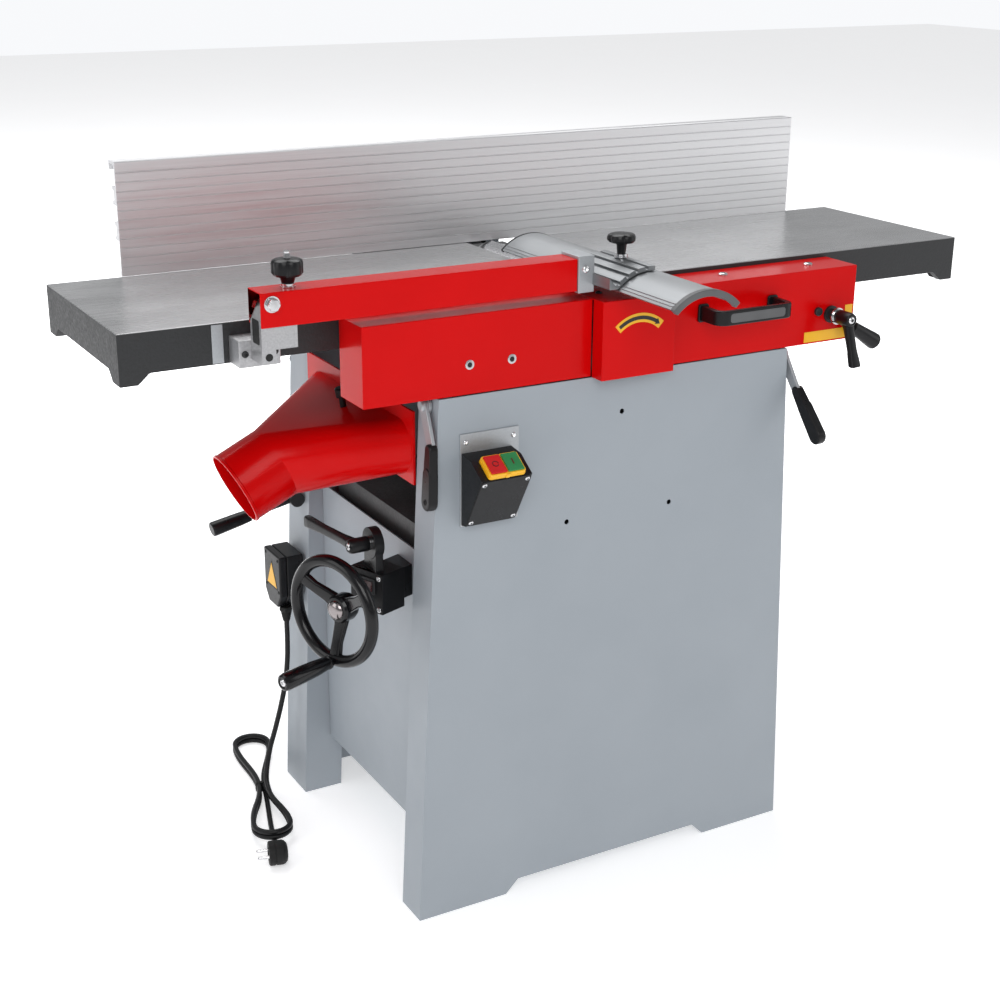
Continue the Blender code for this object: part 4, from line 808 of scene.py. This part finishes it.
def lock_lever(name, side, y, bend, tip, grip_start):
    """Table lock lever on the cabinet's side: bolt, flat cranked arm and a flat grip.

    grip_start is where the grip begins, as a share of the way from the bend to the tip.
    """
    pivot = Vector((side_x(side, LOCK_PIVOT_Z) + side * 2 * GAP, y, LOCK_PIVOT_Z))
    tilt = Matrix.Translation(pivot) @ Matrix.Rotation(-side * CABINET_TAPER, 4, "Y")
    flat = tilt @ plane((0, 0, 0), BACK, UP)
    out = tilt.to_3x3() @ Vector((side, 0, 0))
    reach = Vector((tip[0] - bend[0], tip[1] - bend[1]))

    def layer(outline, near, far):
        low, high = sorted((side * near, side * far))
        return prism(outline, flat, low, high)

    def along(share):
        return (bend[0] + reach.x * share, bend[1] + reach.y * share)

    washer = turned([(0, 0.0115), (0.004, 0.0115), (0.0042, 0.009), (0.01, 0.008), (0.012, 0.006)],
                    pivot, out, 24)
    arm = layer(bar_outline((0, 0), bend, 0.009, 0.0075), 0.0042, 0.0088)
    tail = layer(bar_outline(bend, along(0.3), 0.0075, 0.007), 0.0043, 0.0087)
    piece(f"{name}_arm", joined(washer, arm, tail), "galvanised", name, name, edge=0.0006)
    grip = joined(layer(bar_outline(along(grip_start), along(0.45), 0.0078, 0.01), 0.0022, 0.014),
                  layer(bar_outline(along(0.45), tip, 0.01, 0.0118), 0.002, 0.015))
    piece(f"{name}_grip", grip, "black", name, edge=0.0022)
    # A thin dark ring at the grip's tip paints the shade of the eye's hole
    eye_shade = pivot + tilt.to_3x3() @ Vector((side * 0.015, tip[0], tip[1]))
    rim = turned([(0, 0.004), (0.0005, 0.0038), (0.0005, 0.0026), (0, 0.0024)], eye_shade, out, 20)
    piece(f"{name}_eye", rim, "recess_shade_and_print", name)


def clamp_lever(name, base, axis, arm, reach):
    """Clamping lever: hub with a socket screw, and a tapering arm with a square-cut swelling tip."""
    base, axis, arm = Vector(base), Vector(axis).normalized(), Vector(arm).normalized()
    hub = turned([(0, 0.0085), (0.0025, 0.01), (0.024, 0.01), (0.0285, 0.0088), (0.03, 0.0068),
                  (0.029, 0.0052)], base, axis, 32)
    across = axis.cross(arm).normalized()
    rings = []
    for share, wide, thick in ((0.0, 0.0078, 0.0085), (0.25, 0.0066, 0.006), (0.65, 0.0066, 0.005),
                               (0.9, 0.0082, 0.0056), (0.985, 0.0084, 0.0056), (1.0, 0.0074, 0.0046)):
        place = base + axis * (0.0185 + 0.003 * share) + arm * (reach * share)
        outline = rounded(wide, thick, min(wide, thick) * 0.7, 4)
        rings.append([place + across * x + axis * y for x, y in outline])
    piece(f"{name}_body", joined(hub, loft(rings)), "black", name, name)
    screws(f"{name}_screw", [base + axis * 0.028], axis, 0.005, 0.0022, "chrome", name)
    washer = turned([(0.0001, 0.0095), (0.0022, 0.0095)], base, axis, 28)
    piece(f"{name}_washer", washer, "chrome", name)


def height_levers():
    """Height lever with its round grip, the clamping lever on its axle and the lever's stop."""
    base = HEIGHT_AXIS
    hub = turned([(0, 0.012), (0.0032, 0.012), (0.0034, 0.008), (0.016, 0.008)], base, FRONT)
    direction = Vector((0.074, -0.004, -0.046)).normalized()
    start = base + Vector((0, -0.01, 0))
    up = Vector(FRONT).cross(direction).normalized()
    out = direction.cross(up).normalized()
    rings = [[start + direction * d + up * x + out * y for x, y in rounded(w, 0.0026, 0.0012, 3)]
             for d, w in ((0.0, 0.008), (0.02, 0.0066), (0.04, 0.005))]
    piece("height_lever_arm", joined(hub, loft(rings)), "dark", "height_lever", "height_lever")
    grip = turned([(0.037, 0.007), (0.038, 0.0086), (0.056, 0.0098), (0.078, 0.0116), (0.0845, 0.0118),
                   (0.0862, 0.0108), (0.087, 0.006)], start, direction)
    piece("height_lever_grip", grip, "black", "height_lever")
    stud = turned([(0, 0.0046), (0.008, 0.0046), (0.009, 0.0038)], start + direction * 0.016, FRONT, 20)
    piece("height_lever_pin", stud, "chrome", "height_lever")
    washer = turned([(0, 0.0118), (0.0014, 0.0118)], base + Vector((0, -0.0146, 0)), FRONT)
    piece("height_lever_washer", washer, "chrome", "height_lever")
    clamp_lever("height_clamp_lever", base + Vector((0, -0.0163, 0)), FRONT, (0.06, -0.25, -1), 0.066)
    stop_foot = (0.327, CABINET_FRONT, 0.785)
    stop = turned([(0, 0.006), (0.004, 0.006), (0.0048, 0.005)], stop_foot, FRONT, 24)
    piece("height_stop", stop, "dark", "table_unit")


def feed_lever():
    pivot = turned([(-0.012, 0.011), (0.012, 0.011)], FEED_PIVOT, BACK, 28)
    direction = Vector((-0.98, -0.03, -0.19))
    arm = turned([(0, 0.0052), (0.074, 0.0052)], FEED_PIVOT, direction, 20)
    piece("feed_lever_arm", joined(pivot, arm), "dark", "feed_lever", "feed_lever")
    grip = turned([(0.073, 0.0068), (0.0745, 0.009), (0.09, 0.01), (0.131, 0.011), (0.134, 0.0106),
                   (0.135, 0.0092)], FEED_PIVOT, direction)
    piece("feed_lever_grip", grip, "black", "feed_lever")


# ---------------------------------------------------------------- switch

def switch_details():
    """Fixing screws, the box's lid and corner screws, the bezel and the marks on the buttons."""
    places = [(x, CABINET_FRONT - GAP - SHEET, 0.679) for x in (-0.228, -0.159)]
    screws("switch_plate_screws", places, FRONT, 0.0034, 0.002, "chrome", "cabinet", sides=4)
    low, high = Vector((SWITCH_X, -0.23, 0.571)), Vector((SWITCH_X, *BUTTON_FOOT))
    slope = (high - low).normalized()
    out = Vector((0, -slope.z, slope.y))
    corners = [low + slope * share + out * 0.0006 + Vector((x, 0, 0))
               for x in (-0.0305, 0.0305) for share in (0.007, 0.0775)]
    screws("switch_box_screws", corners, out, 0.0034, 0.0016, "chrome", "cabinet", sides=4)
    lid = prism(rounded(0.0355, 0.0415, 0.005), plane((low + high) / 2, RIGHT, slope), -0.0004, 0.0012)
    piece("switch_lid", lid, "black", "cabinet", edge=0.0006, segments=2)
    bezel(high, Vector((SWITCH_X, *BUTTON_TOP)))
    along = Vector((0, 0.0285, 0.0182)).normalized()
    normal = Vector((0, -along.z, along.y))
    open_ring = arc((0, 0), 0.0045, 0, 330, 22) + arc((0, 0), 0.0033, 330, 0, 22)
    for name, outline in (("stop_button", open_ring), ("start_button", rounded(0.0008, 0.0045, 0.0004, 2))):
        low_corner, high_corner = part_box(name)
        middle = (Vector(low_corner) + Vector(high_corner)) / 2
        mark = prism(outline, plane(middle + normal * 0.003, RIGHT, along), 0.0, 0.0004)
        piece(f"{name}_mark", mark, "mark", name)


def bezel(low, high):
    """Yellow frame round both buttons, with a bar between them and a drain lug at its foot."""
    along = (high - low).normalized()
    middle = (low + high) / 2
    face = plane(middle, RIGHT, along)
    half = (high - low).length / 2 - 0.0005
    shapes = [prism(rounded(0.0262, half, 0.0035), face, GAP, 0.0035)]
    for x in (-0.0122, 0.0122):
        hole = [(x + a, b) for a, b in rounded(0.0112, 0.0142, 0.0015)]
        rim = [(x + a, b) for a, b in rounded(0.0134, half - 0.0002, 0.0032)]
        crest = [(x + (a - x) * 0.97, b * 0.97) for a, b in rim]
        rings = [ring(face, line, depth) for line, depth in (
            (hole, 0.003), (rim, 0.003), (rim, 0.0072), (crest, 0.008), (hole, 0.008))]
        shapes.append(loft(rings, closed=True))
    foot = plane(middle - along * (half - 0.001), RIGHT, along)
    shapes.append(prism(rounded(0.003, 0.0022, 0.0012), foot, 0.001, 0.0076))
    piece("switch_bezel", joined(*shapes), "yellow", "cabinet", "switch_frame")


# ---------------------------------------------------------------- dust chute

def chute_ring(fraction, inset):
    """A ring of points between the round port (0) and the wide hood opening (1)."""
    upward = Vector(BACK).cross(PORT_AXIS).normalized()
    half_y = (HOOD_Y[1] - HOOD_Y[0]) / 2 - inset
    half_z = (HOOD_Z[1] - HOOD_Z[0]) / 2 - inset
    middle = Vector((HOOD_X, sum(HOOD_Y) / 2, sum(HOOD_Z) / 2))
    points = []
    for k in range(CHUTE_STEPS):
        angle = 2 * pi * (k + 0.5) / CHUTE_STEPS
        across, up = cos(angle), sin(angle)
        round_point = PORT_CENTRE + (Vector(BACK) * across + upward * up) * (PORT_RADIUS - inset)
        straight = half_y - half_z
        side = straight if across > 0 else -straight
        flat_point = middle + Vector((0, side + half_z * across, half_z * up))
        points.append(round_point.lerp(flat_point, fraction))
    return points


def dust_chute():
    """Thin sheet shell from the hood's wide mouth to the round port, with a rolled rim and a latch."""
    def port(distance, inset):
        return [point + PORT_AXIS * distance for point in chute_ring(0, inset)]

    rim = [port(distance, inset) for distance, inset in (
        (PORT_LENGTH - 0.0045, 0), (PORT_LENGTH - 0.0035, -0.0009), (PORT_LENGTH - 0.0008, -0.0009),
        (PORT_LENGTH, 0.0001), (PORT_LENGTH, SHEET * 0.8))]
    outside = [chute_ring(1, 0), chute_ring(0.5, 0), port(0, 0)]
    inside = [port(0, SHEET), chute_ring(0.5, SHEET), chute_ring(1, SHEET)]
    shell = loft(outside + rim + inside, closed=True)
    piece("chute_shell", shell, "red", "dust_chute", "dust_chute")
    piece("chute_flange", chute_flange(), "red", "dust_chute")
    latch = turned([(0, 0.006), (0.01, 0.006), (0.011, 0.0042), (0.026, 0.0042), (0.027, 0.0075),
                    (0.038, 0.008), (0.04, 0.0062)], (-0.303, -0.02, 0.672), (-0.15, 0, 1), 24)
    piece("chute_latch", latch, "black", "dust_chute")


def chute_flange():
    """Flat rectangular flange whose inner edge follows the hood's mouth."""
    low = (HOOD_Y[0] - 0.0035, HOOD_Z[0] - 0.006)
    high = (HOOD_Y[1] + 0.008, HOOD_Z[1] + 0.018)
    hole = [(point.y, point.z) for point in chute_ring(1, SHEET)]
    middle = (sum(HOOD_Y) / 2, sum(HOOD_Z) / 2)
    border = []
    for y, z in hole:
        reach_y, reach_z = y - middle[0], z - middle[1]
        wall_y = (high[0] if reach_y > 0 else low[0]) - middle[0]
        wall_z = (high[1] if reach_z > 0 else low[1]) - middle[1]
        share = min(wall_y / reach_y, wall_z / reach_z)
        border.append((middle[0] + reach_y * share, middle[1] + reach_z * share))
    for y, z in ((high[0], high[1]), (low[0], high[1]), (low[0], low[1]), (high[0], low[1])):
        nearest = min(range(len(border)), key=lambda k: (border[k][0] - y) ** 2 + (border[k][1] - z) ** 2)
        border[nearest] = (y, z)
    front, back = HOOD_X - SHEET, HOOD_X + 0.001
    return loft([[Vector((x, y, z)) for y, z in line] for x, line in (
        (front, hole), (front, border), (back, border), (back, hole))], closed=True)


# ---------------------------------------------------------------- handwheel and lift

def wheel_frame():
    """Local Z runs along the shaft into the machine, local Y is up."""
    into = Matrix.Rotation(WHEEL_TURN, 3, "Z") @ Vector(RIGHT)
    return plane(WHEEL, Vector(UP).cross(into), UP)


def handwheel():
    """Rim with a flattened section, three broad spokes and a hub with a domed bright cap."""
    place = wheel_frame()
    rings = []
    for angle in steps_round(96):
        section = []
        for turn in steps_round(24):
            radius = WHEEL_RING + WHEEL_TUBE * 0.98 * cos(turn)
            section.append(place @ Vector((radius * cos(angle), radius * sin(angle), WHEEL_TUBE * sin(turn))))
        rings.append(section)
    hub = [(0.003, 0.012), (0.004, 0.0165), (0.007, 0.019), (0.023, 0.019), (0.029, 0.0165),
           (0.03, 0.012)]
    inward, outward = (place.to_3x3() @ Vector((0, 0, z)) for z in (1, -1))
    shapes = [loft(rings, closed=True), turned(hub, WHEEL, inward, 48)]
    shapes += [spoke(place, radians(-90 + 120 * index)) for index in range(3)]
    piece("wheel_rim", joined(*shapes), "gloss", "handwheel", "handwheel")
    cap = [(-0.004, 0.0128), (-0.003, 0.0132), (-0.0015, 0.0126), (0.0008, 0.0104), (0.0022, 0.007),
           (0.0027, 0.003)]
    piece("wheel_cap", turned(cap, WHEEL, outward, 40), "dark_chrome", "handwheel")
    base = place @ Vector((0, -WHEEL_RING, -WHEEL_TUBE - GAP))
    grip = [(0, 0.0072), (0.003, 0.0092), (0.006, 0.0094), (0.0068, 0.008), (0.008, 0.008),
            (0.009, 0.009), (0.03, 0.0108), (0.06, 0.0118), (CRANK_LENGTH - 0.006, 0.012),
            (CRANK_LENGTH - 0.002, 0.0108), (CRANK_LENGTH, 0.008), (CRANK_LENGTH - 0.0015, 0.0052)]
    piece("crank_handle", turned(grip, base, outward, 36), "gloss", "crank_grip", "crank_grip")
    end = base + outward * (CRANK_LENGTH - 0.0016)
    screws("crank_screw", [end], outward, 0.0048, 0.0018, "chrome", "crank_grip")


def spoke(place, angle):
    """Spoke of the wheel from its hub to its rim, waisted between."""
    direction, aside = Vector((cos(angle), sin(angle), 0)), Vector((-sin(angle), cos(angle), 0))
    rings = []
    for reach, depth, wide, thick in ((0.01, 0.015, 0.012, 0.006), (0.024, 0.012, 0.0098, 0.005),
                                      (0.046, 0.0045, 0.008, 0.0048), (0.066, 0.0005, 0.0092, 0.0058)):
        spot = direction * reach + Vector((0, 0, depth))
        outline = rounded(wide, thick, thick * 0.8)
        rings.append([place @ (spot + aside * x + Vector((0, 0, y))) for x, y in outline])
    return loft(rings)


def lift_details():
    """Depth window on the lift housing's upper outer edge, and its fixing screws."""
    place = wheel_frame()
    face = place @ plane((0.0, 0.0185, 0.0597), (1, 0, 0), (0, 1, 0))
    window_frame = prism(rounded(0.017, 0.011, 0.003), face, -0.002, 0.0002)
    piece("housing_window_frame", window_frame, "dark", "cabinet", edge=0.0006)
    glass = prism(rounded(0.013, 0.007, 0.002), face, -0.0028, -0.0018)
    piece("housing_window", glass, "pane", "cabinet")
    places = [place @ Vector((x, y, 0.06)) for x in (-0.023, 0.023) for y in (-0.012, 0.032)]
    screws("housing_screws", places, place.to_3x3() @ Vector((0, 0, -1)), 0.0036, 0.0022, "steel", "cabinet")


# ---------------------------------------------------------------- terminal box and cabinet details

def terminal_box():
    """Moulded box with a chamfered foot, a separate lid, four screws and a plain triangle plate."""
    low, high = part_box("terminal_box")
    foot = low[2] + 0.0003
    outline = [(low[1], low[2] + 0.022), (low[1] + 0.014, foot), (high[1] - 0.014, foot),
               (high[1], low[2] + 0.018), (high[1], high[2]), (low[1], high[2])]
    face = plane((0, 0, 0), BACK, UP)
    back = prism(outline, face, low[0] + 0.0125, high[0])
    lid = prism(outline, face, low[0], low[0] + 0.0122)
    piece("terminal_back", back, "black", "cabinet", "terminal_box", edge=0.002)
    piece("terminal_lid", lid, "black", "cabinet", edge=0.0026)
    centre_y, centre_z = (low[1] + high[1]) / 2, (low[2] + high[2]) / 2 + 0.006
    out = plane((low[0], centre_y, centre_z), FRONT, UP)
    for name, wide, tall, look, depth in (("triangle_border", 0.0205, 0.0225, "recess_shade_and_print", 0.0003),
                                          ("triangle_plate", 0.018, 0.0195, "yellow", 0.0005)):
        triangle = [(0, tall), (-wide, -tall * 0.85), (wide, -tall * 0.85)]
        piece(name, prism(triangle, out, -0.0003, depth), look, "cabinet")
    places = [(low[0], y, z) for y in (low[1] + 0.007, high[1] - 0.007)
              for z in (low[2] + 0.027, high[2] - 0.007)]
    screws("terminal_screws", places, LEFT, 0.0028, 0.001, "dark", "cabinet", sides=4)


def rear_details():
    """Screws along the rear panel's lips, and louvres for the motor."""
    y = 0.256
    places = [(x, y, z) for x in (-0.262, 0.276) for z in (0.12, 0.4, 0.68)]
    screws("rear_screws", places, BACK, 0.0055, 0.003, "steel", "cabinet")
    outline = [(0.0, -0.003), (0.0048, -0.003), (0.001, 0.0045), (0.0, 0.0045)]
    slats = [prism(outline, plane((0, y, 0.15 + 0.018 * k), BACK, UP), 0.06, 0.2) for k in range(7)]
    piece("rear_louvres", joined(*slats), "cabinet", "cabinet", edge=0.0005)


def feed_roller():
    """Serrated infeed roller: fine flutes along its barrel."""
    low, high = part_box("infeed_roller")
    middle = Vector(((low[0] + high[0]) / 2, 0, (low[2] + high[2]) / 2))
    flutes, crest, root = 36, 0.016, 0.0146
    outline = []
    for k in range(flutes):
        for share, radius in ((0.0, crest), (0.45, crest), (0.6, root), (0.85, root)):
            angle = 2 * pi * (k + share) / flutes
            outline.append((radius * cos(angle), radius * sin(angle)))
    barrel = prism(outline, facing(middle), -0.15, 0.15)
    ends = turned([(low[1], 0.008), (high[1], 0.008)], middle, BACK, 28)
    piece("fluted_roller", joined(barrel, ends), "steel", "infeed_roller", "infeed_roller")


# ---------------------------------------------------------------- camera and light

def camera():
    forward = Vector((sin(CAMERA_YAW) * cos(CAMERA_DOWN), cos(CAMERA_YAW) * cos(CAMERA_DOWN),
                      -sin(CAMERA_DOWN)))
    right = Vector((cos(CAMERA_YAW), -sin(CAMERA_YAW), 0))
    down = forward.cross(right)
    across = right * cos(CAMERA_ROLL) + down * sin(CAMERA_ROLL)
    under = -right * sin(CAMERA_ROLL) + down * cos(CAMERA_ROLL)
    data = bpy.data.cameras.new("camera")
    data.lens = CAMERA_LENS
    data.sensor_width = 36.0
    data.clip_start = 0.05
    obj = add_object("camera", data)
    turn = Matrix((across, -under, -forward)).transposed()
    obj.matrix_world = Matrix.Translation(CAMERA_PLACE) @ turn.to_4x4()
    bpy.context.scene.camera = obj


def area_light(name, place, target, size, power):
    data = bpy.data.lights.new(name, "AREA")
    data.shape = "RECTANGLE"
    data.size, data.size_y = size
    data.energy = power
    obj = add_object(name, data)
    obj.location = place
    obj.rotation_euler = (Vector(target) - Vector(place)).to_track_quat("-Z", "Y").to_euler()


def studio():
    """Even white light from all round, a soft key from the left front and a pale top light."""
    bpy.context.scene.view_settings.view_transform = "Standard"
    world = bpy.data.worlds.new("studio")
    world.use_nodes = True
    nodes, links = world.node_tree.nodes, world.node_tree.links
    sky = nodes["Background"]
    sky.inputs[0].default_value = (0.97, 0.98, 1.0, 1)
    seen = nodes.new("ShaderNodeMapRange")
    seen.inputs["To Min"].default_value, seen.inputs["To Max"].default_value = 0.38, 0.97
    links.new(nodes.new("ShaderNodeLightPath").outputs["Is Camera Ray"], seen.inputs["Value"])
    links.new(seen.outputs[0], sky.inputs[1])
    bpy.context.scene.world = world
    area_light("key", (-1.4, -2.6, 2.4), (0, 0, 0.5), (2.0, 1.6), 38)
    area_light("fill", (2.6, -1.8, 1.6), (0, 0, 0.6), (1.6, 2.0), 13)
    area_light("top", (0.2, 1.2, 2.8), (0, 0, 0.8), (2.6, 1.6), 40)
    area_light("left", (-2.8, 0.3, 1.6), (-0.2, 0, 0.6), (1.4, 2.0), 14)
    area_light("backdrop", (0.8, 2.6, 2.6), (1.6, 5.5, 0.0), (3.0, 1.5), 260)


def floor():
    bm = bmesh.new()
    bmesh.ops.create_grid(bm, x_segments=1, y_segments=1, size=14.0)
    mesh = bpy.data.meshes.new("floor")
    bm.to_mesh(mesh)
    bm.free()
    look = Look("floor")
    look.set("base_color", look.tint(look.noise(3.0), (0.86, 0.86, 0.87), (0.88, 0.88, 0.89)))
    look.set("roughness", 0.6)
    look.set("emission_color", (1.0, 1.0, 1.0))
    look.set("emission_strength", 0.48)
    mesh.materials.append(look.material)
    add_object("floor", mesh)


camera()
supply_cord()
for look, width, nodes in CAD_LOOKS:
    for node in nodes:
        dress(node, look, width)
fence()
bridge_guard()
guard_clamp()
hinge_details()
hand_knob("lift_knob", Vector((-0.45, -0.2005, ARM_TOP + GAP)), "guard_lift_knob",
          stem=0.0085, head_low=0.908, head_high=0.929, head=0.019, stud=0.01)
hand_knob("slide_knob", Vector((0.009, -0.2, 0.8877)), "guard_slide_knob",
          stem=0.0065, head_low=0.906, head_high=0.9185, head=0.019)
cover_details()
turning_arrow()
grab_handle()
lock_lever("left_lock_lever", -1, -0.19, bend=(-0.028, -0.054), tip=(-0.029, -0.117), grip_start=-0.06)
lock_lever("right_lock_lever", 1, -0.198, bend=(-0.028, -0.04), tip=(-0.078, -0.1), grip_start=0.12)
height_levers()
feed_lever()
clamp_lever("fence_slide_lever", (BAR_X - 0.0803, 0.222, 0.872), LEFT, (0, 1, 0.12), 0.07)
clamp_lever("bed_clamp_lever", (-0.3183, -0.12, 0.527), LEFT, (-0.1, 1, -0.03), 0.125)
switch_details()
dust_chute()
handwheel()
lift_details()
terminal_box()
rear_details()
feed_roller()
studio()
floor()
